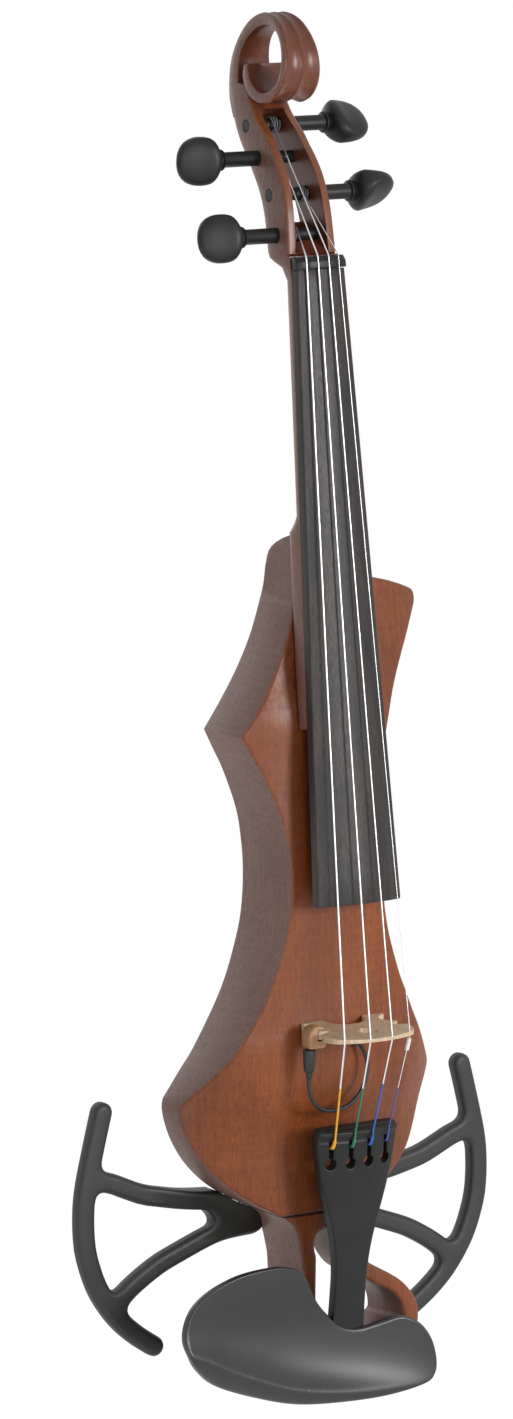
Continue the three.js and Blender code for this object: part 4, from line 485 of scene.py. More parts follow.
    def soften(self, width: float, segments: int = 2, angle: float = 30.0) -> "Mould":
        """Bevels the edges that turn by more than an angle.

        Args:
            width: of the bevel.
            segments: of the bevel.
            angle: in degrees.

        Returns:
            This mould.
        """
        sharp = [
            edge
            for edge in self.mesh.edges
            if len(edge.link_faces) == 2 and edge.calc_face_angle() > math.radians(angle)
        ]
        bmesh.ops.bevel(
            self.mesh, geom=sharp, offset=width, offset_type="OFFSET", affect="EDGES",
            segments=segments, profile=0.5, clamp_overlap=True, material=-1,
        )
        return self

    def stand_in(self, name: str) -> bpy.types.Object:
        """Makes an object of the mould as it stands, for use as a tool.

        Args:
            name: of the object.

        Returns:
            The object.
        """
        data = bpy.data.meshes.new(name)
        self.mesh.to_mesh(data)
        return put_in_scene(name, data)

    def join(self, other: "Mould", way: Join) -> "Mould":
        """Combines this mould with another one, which is used up.

        Args:
            other: the other mould.
            way: how they combine.

        Returns:
            This mould.
        """
        base, tool = self.stand_in("base"), other.stand_in("tool")
        modifier = base.modifiers.new("join", "BOOLEAN")
        modifier.operation = way.value
        modifier.solver = "EXACT"
        modifier.object = tool
        depsgraph = bpy.context.evaluated_depsgraph_get()
        shaped = bpy.data.meshes.new_from_object(base.evaluated_get(depsgraph))
        self.mesh.free()
        self.mesh = bmesh.new()
        self.mesh.from_mesh(shaped)
        bpy.data.meshes.remove(shaped)
        discard(base)
        discard(tool)
        return self

    def cut_rod(self, start: Vector, end: Vector, radius: float, sides: int = 32) -> "Mould":
        """Bores a straight round hole between two points."""
        return self.join(Mould.rod(start, end, radius, sides), Join.CUT)


# Finishes

Rgb = tuple[int, int, int]
Colour = tuple[float, float, float, float]
Socket = bpy.types.NodeSocket
Input = Union[Socket, float, Colour, Sequence[float]]

WHITE = (255, 255, 255)
ONE_BAND = 3.1416 / 20


def shade(tone: Rgb) -> Colour:
    """Turns a colour of 0 to 255 into the linear values that a shader takes.

    Args:
        tone: red, green and blue.

    Returns:
        The linear colour.
    """
    shares = (value / 255 for value in tone)
    linear = [s / 12.92 if s <= 0.04045 else ((s + 0.055) / 1.055) ** 2.4 for s in shares]
    return (*linear, 1.0)


def add_node(
    tree: bpy.types.NodeTree, kind: str, inputs: Mapping[str | int, Input], **settings: str
) -> bpy.types.Node:
    """Adds a node to a material or to the world.

    Args:
        tree: what takes it.
        kind: its type.
        inputs: a socket or a value for an input's name or number.
        settings: its options.

    Returns:
        The node.
    """
    node = tree.nodes.new(kind)
    for name, value in settings.items():
        setattr(node, name, value)
    for key, value in inputs.items():
        if isinstance(value, Socket):
            tree.links.new(value, node.inputs[key])
        else:
            node.inputs[key].default_value = value
    return node


class Nodes:
    """Builds the nodes of one material."""

    def __init__(self, name: str) -> None:
        """Starts a material with a plain shader.

        Args:
            name: name of the material.
        """
        self.material = bpy.data.materials.new(name)
        self.material.use_nodes = True
        self.tree = self.material.node_tree
        self.shader = self.tree.nodes["Principled BSDF"]
        self.place = self.add("ShaderNodeTexCoord", {}).outputs["Object"]

    def add(self, kind: str, inputs: Mapping[str | int, Input], **settings: str) -> bpy.types.Node:
        """Adds a node to this material."""
        return add_node(self.tree, kind, inputs, **settings)

    def noise(self, scale: Sequence[float], detail: float, rough: float = 0.5) -> Socket:
        """Noise between 0 and 1 with its own size along each axis.

        Args:
            scale: repeats per metre along X, Y and Z.
            detail: layers of finer noise.
            rough: how strongly they show.

        Returns:
            The noise.
        """
        place = self.add("ShaderNodeMapping", {"Vector": self.place, "Scale": scale})
        inputs = {"Scale": 1.0, "Detail": detail, "Roughness": rough, "Vector": place.outputs[0]}
        return self.add("ShaderNodeTexNoise", inputs).outputs["Fac"]

    def ramp(self, value: Socket, *stops: tuple[float, Rgb]) -> Socket:
        """Colour that follows a value.

        Args:
            value: the value.
            stops: a value and its colour each, in order.

        Returns:
            The colour.
        """
        node = self.add("ShaderNodeValToRGB", {"Fac": value})
        elements = node.color_ramp.elements
        while len(elements) < len(stops):
            elements.new(0.5)
        for element, (place, tone) in zip(elements, stops):
            element.position = place
            element.color = shade(tone)
        return node.outputs["Color"]

    def range(self, value: Socket, low: float, high: float) -> Socket:
        """Moves the middle of a noise's range to the range from low to high."""
        inputs = {"Value": value, "From Min": 0.3, "From Max": 0.7, "To Min": low, "To Max": high}
        return self.add("ShaderNodeMapRange", inputs).outputs["Result"]

    def mix(self, share: float, first: Input, second: Input, blend: str = "MIX") -> Socket:
        """Mixes two colours."""
        inputs = {0: share, 6: first, 7: second}
        return self.add("ShaderNodeMix", inputs, data_type="RGBA", blend_type=blend).outputs[2]

    def bump(self, *heights: tuple[Socket, float]) -> None:
        """Adds fine relief.

        Args:
            heights: each value and its depth in millimetres.
        """
        before = {}
        for value, depth in heights:
            inputs = {"Strength": 1.0, "Distance": depth * MM, "Height": value, **before}
            before = {"Normal": self.add("ShaderNodeBump", inputs).outputs["Normal"]}
        self.fit(before)

    def fit(self, inputs: Mapping[str, Input]) -> None:
        """Leads sockets and plain values into the shader's inputs.

        Args:
            inputs: a socket or a value for an input's name.
        """
        for name, value in inputs.items():
            if isinstance(value, Socket):
                self.tree.links.new(value, self.shader.inputs[name])
            else:
                self.shader.inputs[name].default_value = value


@dataclass(frozen=True)
class LacqueredMaple:
    """Stained maple under satin lacquer, its grain along Z."""

    name: str
    light: Rgb
    dark: Rgb
    edge: Rgb
    roughness: float
    coat: float
    curl: float
    shine: float = 0.35

    def build(self) -> bpy.types.Material:
        """Makes the material.

        Returns:
            The material.
        """
        nodes = Nodes(self.name)
        grain = nodes.noise((420, 420, 16), 3.0, 0.6)
        fleck = nodes.noise((1300, 1300, 210), 2.0)
        curl = nodes.noise((60, 60, 620), 2.0)
        cloud = nodes.noise((22, 22, 9), 2.0)
        colour = nodes.ramp(cloud, (0.3, self.edge), (0.52, self.dark), (0.75, self.light))
        colour = nodes.mix(0.45, colour, nodes.ramp(grain, (0.3, self.dark), (0.7, self.light)))
        shadow = nodes.ramp(fleck, (0.32, (196, 180, 172)), (0.56, WHITE))
        colour = nodes.mix(0.55, colour, shadow, "MULTIPLY")
        wave = nodes.ramp(curl, (0.35, (214, 200, 192)), (0.62, WHITE))
        nodes.bump((grain, 0.02), (fleck, 0.012))
        nodes.fit({
            "Base Color": nodes.mix(self.curl, colour, wave, "MULTIPLY"),
            "Roughness": nodes.range(fleck, self.roughness + 0.04, self.roughness - 0.03),
            "Coat Weight": self.coat,
            "Coat Roughness": 0.26,
            "Specular IOR Level": self.shine,
        })
        return nodes.material


@dataclass(frozen=True)
class Ebony:
    """Dark wood with fine pores and paler streaks along Z."""

    name: str
    dark: Rgb
    pale: Rgb
    streak: float = 0.9
    roughness: float = 0.44
    shine: float = 0.36

    def build(self) -> bpy.types.Material:
        """Makes the material.

        Returns:
            The material.
        """
        nodes = Nodes(self.name)
        streak = nodes.noise((190, 190, 5), 4.0, 0.6)
        pore = nodes.noise((2300, 2300, 130), 2.0)
        colour = nodes.ramp(streak, (0.36, self.dark), (0.66, self.pale))
        colour = nodes.mix(self.streak, shade(self.dark), colour)
        shadow = nodes.ramp(pore, (0.36, (150, 146, 142)), (0.55, WHITE))
        nodes.bump((pore, 0.02))
        nodes.fit({
            "Base Color": nodes.mix(0.6, colour, shadow, "MULTIPLY"),
            "Roughness": nodes.range(pore, self.roughness + 0.08, self.roughness - 0.04),
            "Specular IOR Level": self.shine,
        })
        return nodes.material


@dataclass(frozen=True)
class Satin:
    """A plain moulded or polished surface with a little unevenness."""

    name: str
    colour: Rgb
    second: Rgb
    roughness: float
    relief: float = 0.01
    speck: float = 900.0
    metallic: float = 0.0
    shine: float = 0.5

    def build(self) -> bpy.types.Material:
        """Makes the material.

        Returns:
            The material.
        """
        nodes = Nodes(self.name)
        cloud = nodes.noise((45, 45, 45), 3.0, 0.55)
        speck = nodes.noise((self.speck,) * 3, 2.0)
        nodes.bump((speck, self.relief))
        nodes.fit({
            "Base Color": nodes.ramp(cloud, (0.35, self.colour), (0.68, self.second)),
            "Roughness": nodes.range(speck, self.roughness - 0.04, self.roughness + 0.05),
            "Metallic": self.metallic,
            "Specular IOR Level": self.shine,
        })
        return nodes.material


@dataclass(frozen=True)
class Wound:
    """Thread or ribbon wound closely round a string."""

    name: str
    colour: Rgb
    shadow: Rgb
    pitch: float = 0.25
    roughness: float = 0.6
    metallic: float = 0.0
    relief: float = 0.03

    def build(self) -> bpy.types.Material:
        """Makes the material.

        Returns:
            The material.
        """
        nodes = Nodes(self.name)
        inputs = {"Vector": nodes.place, "Scale": ONE_BAND / (self.pitch * MM)}
        settings = {"wave_type": "BANDS", "bands_direction": "Z"}
        wave = nodes.add("ShaderNodeTexWave", inputs, **settings).outputs["Fac"]
        fibre = nodes.noise((700, 700, 260), 2.0)
        colour = nodes.ramp(fibre, (0.3, self.shadow), (0.65, self.colour))
        colour = nodes.mix(0.5, shade(self.colour), colour)
        # Painted shade: the colour darkens toward the shadow tone in the grooves between the turns.
        painted_groove_shade = nodes.ramp(wave, (0.0, self.shadow), (0.45, self.colour))
        nodes.bump((wave, self.relief))
        nodes.fit({
            "Base Color": nodes.mix(0.45, colour, painted_groove_shade),
            "Roughness": self.roughness,
            "Metallic": self.metallic,
        })
        return nodes.material


@dataclass(frozen=True)
class Cork:
    """Cork with its dark grains."""

    name: str

    def build(self) -> bpy.types.Material:
        """Makes the material.

        Returns:
            The material.
        """
        nodes = Nodes(self.name)
        grain = nodes.noise((620, 620, 620), 4.0, 0.7)
        nodes.bump((grain, 0.12))
        stops = ((0.32, (96, 62, 38)), (0.5, (176, 132, 90)), (0.7, (206, 166, 120)))
        nodes.fit({"Base Color": nodes.ramp(grain, *stops), "Roughness": 0.85})
        return nodes.material


FINISHES = (
    LacqueredMaple("stained_top", (156, 84, 37), (126, 63, 27), (84, 41, 18), 0.42, 0.08, 0.3),
    # The sides' stain is greyed and lightened. It is partly the stained maple's own colour and partly
    # a painted sheen that stands in for the satin lacquer's reflection on the sides.
    LacqueredMaple(
        "stained_side_painted_sheen", (154, 116, 104), (132, 96, 86), (110, 78, 69), 0.46, 0.0, 0.3, 0.42
    ),
    LacqueredMaple("stained_head", (128, 70, 41), (94, 49, 29), (62, 33, 20), 0.38, 0.2, 0.2),
    LacqueredMaple("stained_cheek", (138, 82, 45), (114, 63, 34), (88, 48, 27), 0.36, 0.15, 0.2),
    Ebony("ebony_board", (26, 26, 27), (62, 54, 50)),
    Satin("black_fittings", (24, 25, 26), (31, 31, 32), 0.44, 0.012, 2200.0, shine=0.28),
    LacqueredMaple(
        "bridge_maple", (238, 218, 188), (220, 196, 162), (196, 170, 136), 0.5, 0.0, 0.3
    ),
    LacqueredMaple(
        "dowel_birch", (226, 196, 150), (206, 172, 124), (186, 150, 104), 0.6, 0.0, 0.2
    ),
    Satin("wing_coating", (33, 34, 32), (39, 40, 38), 0.52, 0.02, 1600.0),
    Wound("string_winding", (222, 222, 222), (208, 208, 208), 0.12, 0.34, 1.0, 0.003),
    Satin("black_rubber", (18, 18, 19), (25, 25, 25), 0.5),
    Satin("nut_black", (14, 14, 15), (20, 20, 20), 0.4, 0.004, shine=0.3),
    Satin("black_plastic", (30, 30, 31), (38, 38, 39), 0.48, 0.02, 1400.0),
    Satin("white_sleeve", (236, 236, 232), (226, 226, 222), 0.35, 0.0),
    Satin("tan_housing", (186, 146, 108), (164, 124, 88), 0.55, 0.02, 1200.0),
    Satin("plated_steel", (198, 198, 200), (184, 184, 188), 0.2, 0.002, 700.0, 1.0),
    Satin("green_board", (18, 84, 50), (24, 98, 60), 0.4),
    Satin("battery_case", (60, 60, 64), (72, 72, 76), 0.32, 0.004, 900.0, 0.6),
    Satin("tail_cord", (28, 28, 28), (40, 40, 40), 0.42),
    Cork("cork_pad"),
    Wound("silk_g", (240, 180, 52), (196, 132, 24)),
    Wound("silk_d", (48, 128, 92), (24, 84, 62)),
    Wound("silk_a", (62, 112, 196), (34, 70, 150)),
    Wound("silk_e", (84, 100, 190), (54, 60, 140)),
    Satin("chinrest_black", (22, 23, 25), (28, 29, 31), 0.36, 0.01, 2400.0, shine=0.6),
    # Black silk for the windings on the pegs, lightened to mid grey. This is partly the silk's own
    # dark colour and partly a painted sheen.
    Wound("black_silk_painted_sheen", (128, 128, 134), (58, 58, 64)),
)


class Bench:
    """Casts moulds as pieces of the violin, dresses them and reports each."""

    def __init__(self) -> None:
        """Makes every finish once."""
        self.finishes = {finish.name: finish.build() for finish in FINISHES}

    def cast(
        self,
        mould: Mould,
        name: str,
        finish: str,
        nodes: Sequence[str] = (),
        rides: str = ROOT,
        sharp: float = 35.0,
        others: Sequence[str] = (),
        chooser: Optional[Chooser] = None,
    ) -> None:
        """Casts a mould as a finished piece.

        Args:
            mould: the mould, which is used up.
            name: of the piece.
            finish: name of its finish.
            nodes: the solids that it replaces.
            rides: the body that it moves with.
            sharp: angle in degrees above which an edge is drawn sharp.
            others: names of further finishes.
            chooser: gives the number of a face's finish, 0 for the first.
        """
        mesh = mould.mesh
        for face in mesh.faces:
            face.smooth = True
            face.material_index = chooser(face) if chooser else 0
        mould.move(Matrix.Scale(MM, 4))
        data = bpy.data.meshes.new(name)
        mesh.to_mesh(data)
        mesh.free()
        for key in (finish, *others):
            data.materials.append(self.finishes[key])
        data.set_sharp_from_angle(angle=math.radians(sharp))
        piece = put_in_scene(name, data)
        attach(piece, rides)
        if nodes:
            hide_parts(*nodes)
        LOG.info("%s: %d faces", name, len(data.polygons))


# Sizes that several pieces share


@dataclass(frozen=True)
class StringLayout:
    """Where the strings run."""

    length: float = 328.0
    tilt: float = 7.7
    bridge_height: float = 72.4
    arch: float = 42.0
    nut_spread: float = 16.4
    bridge_spread: float = 33.5
    names: tuple[str, ...] = ("g", "d", "a", "e")
    diameters: tuple[float, ...] = (0.84, 0.8, 0.76, 0.6)
    shares: tuple[float, ...] = (-0.5, -1 / 6, 1 / 6, 0.5)
    turns: int = 3
    turn_gap: float = 0.55

    def neck_pose(self) -> Matrix:
        """Pose of the neck's own frame, whose origin is at the nut and Z runs to the scroll.

        Returns:
            The pose.
        """
        tilt = math.radians(self.tilt)
        nut = Vector(
            (0, -self.bridge_height + self.length * math.sin(tilt), self.length * math.cos(tilt))
        )
        return Matrix.Translation(nut) @ Matrix.Rotation(-tilt, 4, "X")

    def drop(self, x: float) -> float:
        """How far the string arch falls away at a distance from the middle."""
        return self.arch - math.sqrt(self.arch**2 - x**2)


STRINGS = StringLayout()
NECK_POSE = STRINGS.neck_pose()


@dataclass(frozen=True)
class BodyShape:
    """Outline and carved front of the body."""

    upper: float = 208.5
    lower: float = 82.5
    half: float = 66.0
    crown: float = 42.6
    edge_drop: float = 0.62
    arch_power: float = 3.0
    heel_round: float = 8.0
    bass_heel: Table = (
        (-0.098, 1.007), (-0.121, 1.001), (-0.153, 0.982), (-0.184, 0.94), (-0.205, 0.897),
        (-0.267, 0.833), (-0.326, 0.785), (-0.421, 0.727), (-0.538, 0.669), (-0.662, 0.614),
    )
    bass_waist: Table = (
        (-0.662, 0.614), (-0.586, 0.567), (-0.517, 0.525), (-0.417, 0.442), (-0.376, 0.369),
        (-0.364, 0.3), (-0.382, 0.225), (-0.429, 0.163), (-0.506, 0.092), (-0.6, 0.032),
        (-0.756, -0.124), (-0.859, -0.23), (-0.988, -0.367),
    )
    bass_bout: Table = (
        (-0.988, -0.367), (-0.998, -0.418), (-0.973, -0.509), (-0.92, -0.612), (-0.836, -0.718),
        (-0.727, -0.812), (-0.63, -0.874), (-0.503, -0.939), (-0.438, -0.965), (-0.353, -1),
    )
    treble_bout: Table = (
        (0.32, -1), (0.41, -0.93), (0.491, -0.852), (0.57, -0.793), (0.65, -0.715),
        (0.71, -0.61), (0.742, -0.5), (0.768, -0.41), (0.81, -0.32), (0.822, -0.28),
        (0.806, -0.245),
    )
    treble_waist: Table = (
        (0.806, -0.245), (0.7, -0.083), (0.622, 0.014), (0.554, 0.059), (0.489, 0.104),
        (0.395, 0.193), (0.347, 0.29), (0.335, 0.38), (0.354, 0.49), (0.406, 0.587),
        (0.48, 0.666), (0.613, 0.742), (0.693, 0.786), (0.775, 0.834),
    )
    treble_shoulder: Table = (
        (0.775, 0.834), (0.803, 0.854), (0.79, 0.874), (0.734, 0.884), (0.557, 0.903),
        (0.392, 0.915), (0.27, 0.919), (0.205, 0.928),
    )
    treble_heel: Table = (
        (0.205, 0.928), (0.18, 0.95), (0.153, 0.982), (0.121, 1.001), (0.098, 1.007),
    )
    crown_shares: Table = (
        (1, 0.582), (0.887, 0.636), (0.767, 0.714), (0.724, 0.754), (0.686, 0.808),
        (0.65, 0.854), (0.614, 0.869), (0.566, 0.876), (0.48, 0.899), (0.36, 0.946),
        (0.096, 0.953), (0.038, 0.967), (-0.06, 1), (-0.242, 0.993), (-0.364, 0.951),
        (-0.485, 0.878), (-0.606, 0.826), (-0.727, 0.805), (-1, 0.7418),
    )

    def place(self, x: float, z: float) -> tuple[float, float]:
        """A place on the body from shares of its half width and of its length."""
        return x * self.half, z * (self.lower if z < 0 else self.upper)

    def edge(self, shares: Table, steps: int) -> Outline:
        """One edge of the outline, as even points."""
        return even_curve(plan(shares, self.place), steps)

    def outline(self) -> Outline:
        """The whole outline, from the heel down the bass side and up the treble side.

        Returns:
            Its points.
        """
        rows = (
            (self.bass_heel, 40), (self.bass_waist, 56), (self.bass_bout, 34),
            (self.treble_bout, 34), (self.treble_waist, 56), (self.treble_shoulder, 30),
            (self.treble_heel, 10),
        )
        points: Outline = []
        for shares, steps in rows:
            line = self.edge(shares, steps)
            keep_end = shares in (self.bass_bout, self.treble_heel)
            points += line if keep_end else line[:-1]
        return points

    def front(self, x: float, z: float) -> float:
        """Y of the carved front.

        Args:
            x: place across the body.
            z: place along it.

        Returns:
            Its Y.
        """
        share = z / self.lower if z < 0 else z / self.upper
        reach = min(abs(x) / self.half, 1.0)
        fall = self.edge_drop * reach**self.arch_power
        return -self.crown * read_table(self.crown_shares, share) * (1 - fall)

    def back(self, _: float, z: float) -> float:
        """Y of the back, which is flat and rounds off towards the heel's end."""
        share = clamp((z - self.upper) / self.heel_round + 1, 0.0, 1.2)
        return -self.heel_round * share**2


BODY = BodyShape()


# Fingerboard, neck and head


@dataclass
class Fingerboard:
    """The arched board under the strings, hollowed where it hangs free."""

    length: float = 270.0
    nut_width: float = 24.2
    end_width: float = 42.4
    side: float = 4.0
    nut_clearance: float = 0.9
    end_clearance: float = 3.8
    hollow: float = 2.2
    rim: float = 0.9
    rim_angles: tuple[float, ...] = (20, 45, 70, 90)
    chamfer: float = 0.3
    land: float = 1.6
    end_insets: tuple[float, float] = (0.25, 0.35)

    def share(self, along: float) -> float:
        """Share of the board's length, from the nut."""
        return clamp(-along / self.length, -0.1, 1.0)

    def half(self, along: float) -> float:
        """Half the board's width."""
        return lerp(self.nut_width, self.end_width, self.share(along)) / 2

    def crown(self, along: float) -> float:
        """Depth of the board's crown below the string plane."""
        return lerp(self.nut_clearance, self.end_clearance, self.share(along))

    def back(self, along: float) -> float:
        """Depth of the board's flat back below the string plane.

        Args:
            along: place from the nut.

        Returns:
            The depth.
        """
        ends = (
            self.nut_clearance + STRINGS.drop(self.nut_width / 2) + self.side,
            self.end_clearance + STRINGS.drop(self.end_width / 2) + self.side,
        )
        return lerp(*ends, self.share(along))

    def ring(self, along: float, free: float) -> list[Vector]:
        """One section of the board.

        Args:
            along: its place from the nut.
            free: where the board starts to hang free.

        Returns:
            The section's points.
        """
        half, back, rim = self.half(along), self.back(along), self.rim
        hollow = self.hollow * max(0.0, (free - along) / (free + self.length))
        low = self.crown(along) + STRINGS.drop(half - rim)
        xs = spread(-half + rim, half - rim, 28)
        arch = [(x, self.crown(along) + STRINGS.drop(abs(x))) for x in xs]
        turns = [math.radians(angle) for angle in self.rim_angles]
        side = [(half - rim + rim * math.sin(t), low + rim * (1 - math.cos(t))) for t in turns]
        side += [(half, back - self.chamfer), (half - self.chamfer, back)]
        xs = spread(half - self.land, -half + self.land, 16)
        below = [(x, back - hollow * (1 - (x / half) ** 2)) for x in xs]
        other = [(-x, y) for x, y in reversed(side)]
        return [Vector((x, y, along)) for x, y in (*arch, *side, *below, *other)]

    def mould(self, free: float) -> Mould:
        """The board's mould.

        Args:
            free: where the board starts to hang free.

        Returns:
            The mould.
        """
        places = [-GAP, -GAP - 0.25, *spread(-8, -self.length + 1, 22), -self.length]
        rings = [self.ring(along, free) for along in places]
        for ring, inset in zip((rings[0], rings[-1]), self.end_insets):
            middle = Vector((0, sum(p.y for p in ring) / len(ring), ring[0].z))
            for point in ring:
                point += (middle - point).normalized() * inset
        return Mould().skin(rings).move(NECK_POSE)


BOARD = Fingerboard()


@dataclass
class Neck:
    """Neck with its root, pegbox and open ring scroll, one carved piece."""

    back_at_nut: float = 19.4
    back_at_heel: float = 21.0
    root_back: float = 22.0
    root_square: float = 0.85
    heel: float = 7.0
    root: float = 83.6
    inset: float = 0.3
    nut: float = 5.2
    box_length: float = 78.5
    box_nut_width: float = 25.2
    box_top_width: float = 19.2
    cheek: float = 3.9
    slot_start: float = 8.0
    slot_end: float = 70.0
    slot_low: float = 20.8
    slot_clear: float = 3.0
    slot_top: Table = ((0.94, 0.87), (0.83, 0.97), (0.6, 1.0))
    depth: float = 19.2
    peg_bore: float = 2.8
    shoulder_bore: float = 3.4
    bore_sides: int = 40
    corner: float = 1.3
    seam_corner: float = 0.02
    head_square: float = 0.9
    crown_taper: float = 0.06
    nut_squares: Table = (
        (0.02, 0.25), (0.035, 0.45), (0.05, 0.62), (0.062, 0.73), (0.0705, 0.8),
    )
    crown: Table = ((0.8, 0.5), (1.6, 1.5), (2.4, 3.2), (3.1, 5.6), (3.6, 8.4))
    cheek_front: Table = (
        (0.08, 0.43), (0.29, 0.43), (0.37, 0.46), (0.456, 0.53), (0.535, 0.645), (0.61, 0.81),
        (0.676, 0.995), (0.757, 1.21), (0.834, 1.49), (0.904, 1.67), (1, 1.82),
    )
    cheek_back: Table = (
        (0.02, 1.1), (0.06, 1.3), (0.1, 1.4), (0.18, 1.435), (0.316, 1.505), (0.427, 1.64),
        (0.511, 1.81), (0.623, 2.08), (0.748, 2.39), (0.876, 2.563), (1, 2.628),
    )
    pegs: tuple[tuple[str, float, float, int, float], ...] = (
        ("g", 0.195, 0.9, -1, 0.0),
        ("e", 0.414, 1.104, 1, 55.0),
        ("d", 0.622, 1.52, -1, 8.0),
        ("a", 0.803, 1.917, 1, -40.0),
    )

    def start(self) -> float:
        """Where the root begins, from the nut."""
        nut = NECK_POSE.translation
        return (BODY.upper - nut.z) / math.cos(math.radians(STRINGS.tilt)) + self.heel

    def front_at(self, along: float) -> float:
        """Front of the cheeks."""
        return self.depth * read_table(self.cheek_front, along / self.box_length)

    def back_at(self, along: float) -> float:
        """Back of the pegbox."""
        return self.depth * read_table(self.cheek_back, along / self.box_length)

    def half(self, along: float) -> float:
        """Half the width of the head."""
        return lerp(self.box_nut_width, self.box_top_width, clamp(along / self.box_length)) / 2

    def ring(
        self, along: float, half: float, front: float, back: float, square: float, soft: float = 0.0
    ) -> list[Vector]:
        """One section: flat in front, and from half round to nearly square behind.

        Args:
            along: its place from the nut.
            half: half its width.
            front: depth of its front.
            back: depth of its back.
            square: 0 for half round and 1 for square.
            soft: radius of its front corners.

        Returns:
            The section's points.
        """
        power = lerp(1, 0.22, square)
        pairs = []
        for angle in (share * math.pi for share in spread(0, 1, 36)):
            side = math.cos(angle)
            x = half * math.copysign(abs(side) ** power, side)
            deep = max(math.sin(angle), 0.0) ** power
            pairs.append((x, front + soft + (back - front - soft) * deep))
        corner = []
        for turn in (math.radians(angle) for angle in (30, 60, 90)):
            x = half - soft * (1 - math.cos(turn))
            corner.append((x, front + soft * (1 - math.sin(turn))))
        pairs += [(-x, y) for x, y in corner] + corner[::-1]
        return [Vector((x, y, along)) for x, y in pairs]

    def board_ring(
        self, along: float, back: float, square: float, extra: float = 0.0
    ) -> list[Vector]:
        """One section under the fingerboard.

        Args:
            along: its place from the nut.
            back: depth of its back.
            square: 0 for half round and 1 for square.
            extra: how much wider and deeper it is made.

        Returns:
            The section's points.
        """
        half = BOARD.half(along) - self.inset + extra
        front = BOARD.back(along) + GAP
        return self.ring(along, half, front, back + extra, square, self.seam_corner)

    def head_ring(self, along: float, front: float, square: float, soft: float) -> list[Vector]:
        """One section of the pegbox, with its front given."""
        return self.ring(along, self.half(along), front, self.back_at(along), square, soft)

    def root_mould(self, extra: float) -> Mould:
        """The room that the root takes in the body.

        Args:
            extra: the gap round it.

        Returns:
            The room's mould.
        """
        start, front = self.start(), -BODY.crown
        rings = []
        for share in (0, 0.33, 0.66, 1.04):
            along = lerp(start - self.root - extra, start, share)
            half = BOARD.half(along) - self.inset + extra
            back = self.root_back + extra
            ring = self.ring(along, half, BOARD.back(along) + GAP, back, self.root_square)[:37]
            rings.append([Vector((half, front, along)), *ring, Vector((-half, front, along))])
        return Mould().skin(rings).move(NECK_POSE)

    def shaft_rings(self) -> list[list[Vector]]:
        """Sections of the root, the shaft and the pegbox.

        Returns:
            The sections in order.
        """
        start = self.start()
        shaft = start + self.heel
        rings = []
        for share in (0, 0.33, 0.66, 0.9, 1):
            along = lerp(start - self.root, start, share)
            rings.append(self.board_ring(along, self.root_back, self.root_square))
        for share in (0.17, 0.34, 0.5, 0.67, 0.84):
            back = lerp(self.root_back, self.back_at_heel, share)
            square = self.root_square * (1 - share) ** 1.2
            rings.append(self.board_ring(lerp(start, shaft, share), back, square))
        for share in (0, 0.2, 0.4, 0.6, 0.8, 0.96):
            back = lerp(self.back_at_heel, self.back_at_nut, share)
            rings.append(self.board_ring(lerp(shaft, 0, share), back, 0))
        seat = BOARD.back(0) + GAP
        for share, square in self.nut_squares:
            rings.append(self.head_ring(share * self.box_length, seat, square, self.seam_corner))
        end = self.nut + GAP + GAP
        rings.append(self.head_ring(end, seat, self.root_square, self.seam_corner))
        for step, low, square, soft in ((0.2, 1.0, 0.86, 0.6), (0.8, 0.0, 0.87, self.corner)):
            end += step
            rings.append(self.head_ring(end, self.front_at(end) + low, square, soft))
        for along in spread(end + 2, self.box_length, 30):
            front = self.front_at(along)
            rings.append(self.head_ring(along, front, self.head_square, self.corner))
        top = self.box_length
        for rise, fall in self.crown:
            half, front = self.half(top) - fall * self.crown_taper, self.front_at(top) + fall
            rings.append(
                self.ring(top + rise, half, front, self.back_at(top), self.head_square, self.corner)
            )
        return rings

    def slot_mould(self) -> Mould:
        """The room between the cheeks.

        Returns:
            The room's mould.
        """
        back, low = self.back_at(self.box_length) + self.slot_clear, self.slot_low
        deep = self.back_at(self.slot_end)
        outline = [
            (-self.slot_clear, self.slot_start * 0.3),
            (self.depth * 0.22, self.slot_start * 0.45),
            (self.back_at(low) - 1, low),
            (back, low),
            (back, self.slot_end * 0.83),
            *((deep * y, self.slot_end * z) for y, z in self.slot_top),
            (-self.slot_clear, self.slot_end),
        ]
        rings = []
        for sign in (-1, 1):
            widths = [sign * (self.half(along) - self.cheek) for _, along in outline]
            rings.append([Vector((x, y, along)) for x, (y, along) in zip(widths, outline)])
        return Mould().skin(rings)

    def mould(self) -> Mould:
        """The whole neck and head.

        Returns:
            The mould.
        """
        made = Mould().skin(self.shaft_rings())
        made.join(Volute().mould(), Join.ADD)
        made.join(self.slot_mould(), Join.CUT)
        reach = self.box_nut_width
        for _, along, back, side, _ in self.pegs:
            y, z = back * self.depth, along * self.box_length
            left, middle, right = (Vector((x, y, z)) for x in (-reach, 0, reach))
            made.cut_rod(left, right, self.peg_bore, self.bore_sides)
            end = right if side > 0 else left
            made.cut_rod(middle, end, self.shoulder_bore, self.bore_sides)
        return made.move(NECK_POSE)


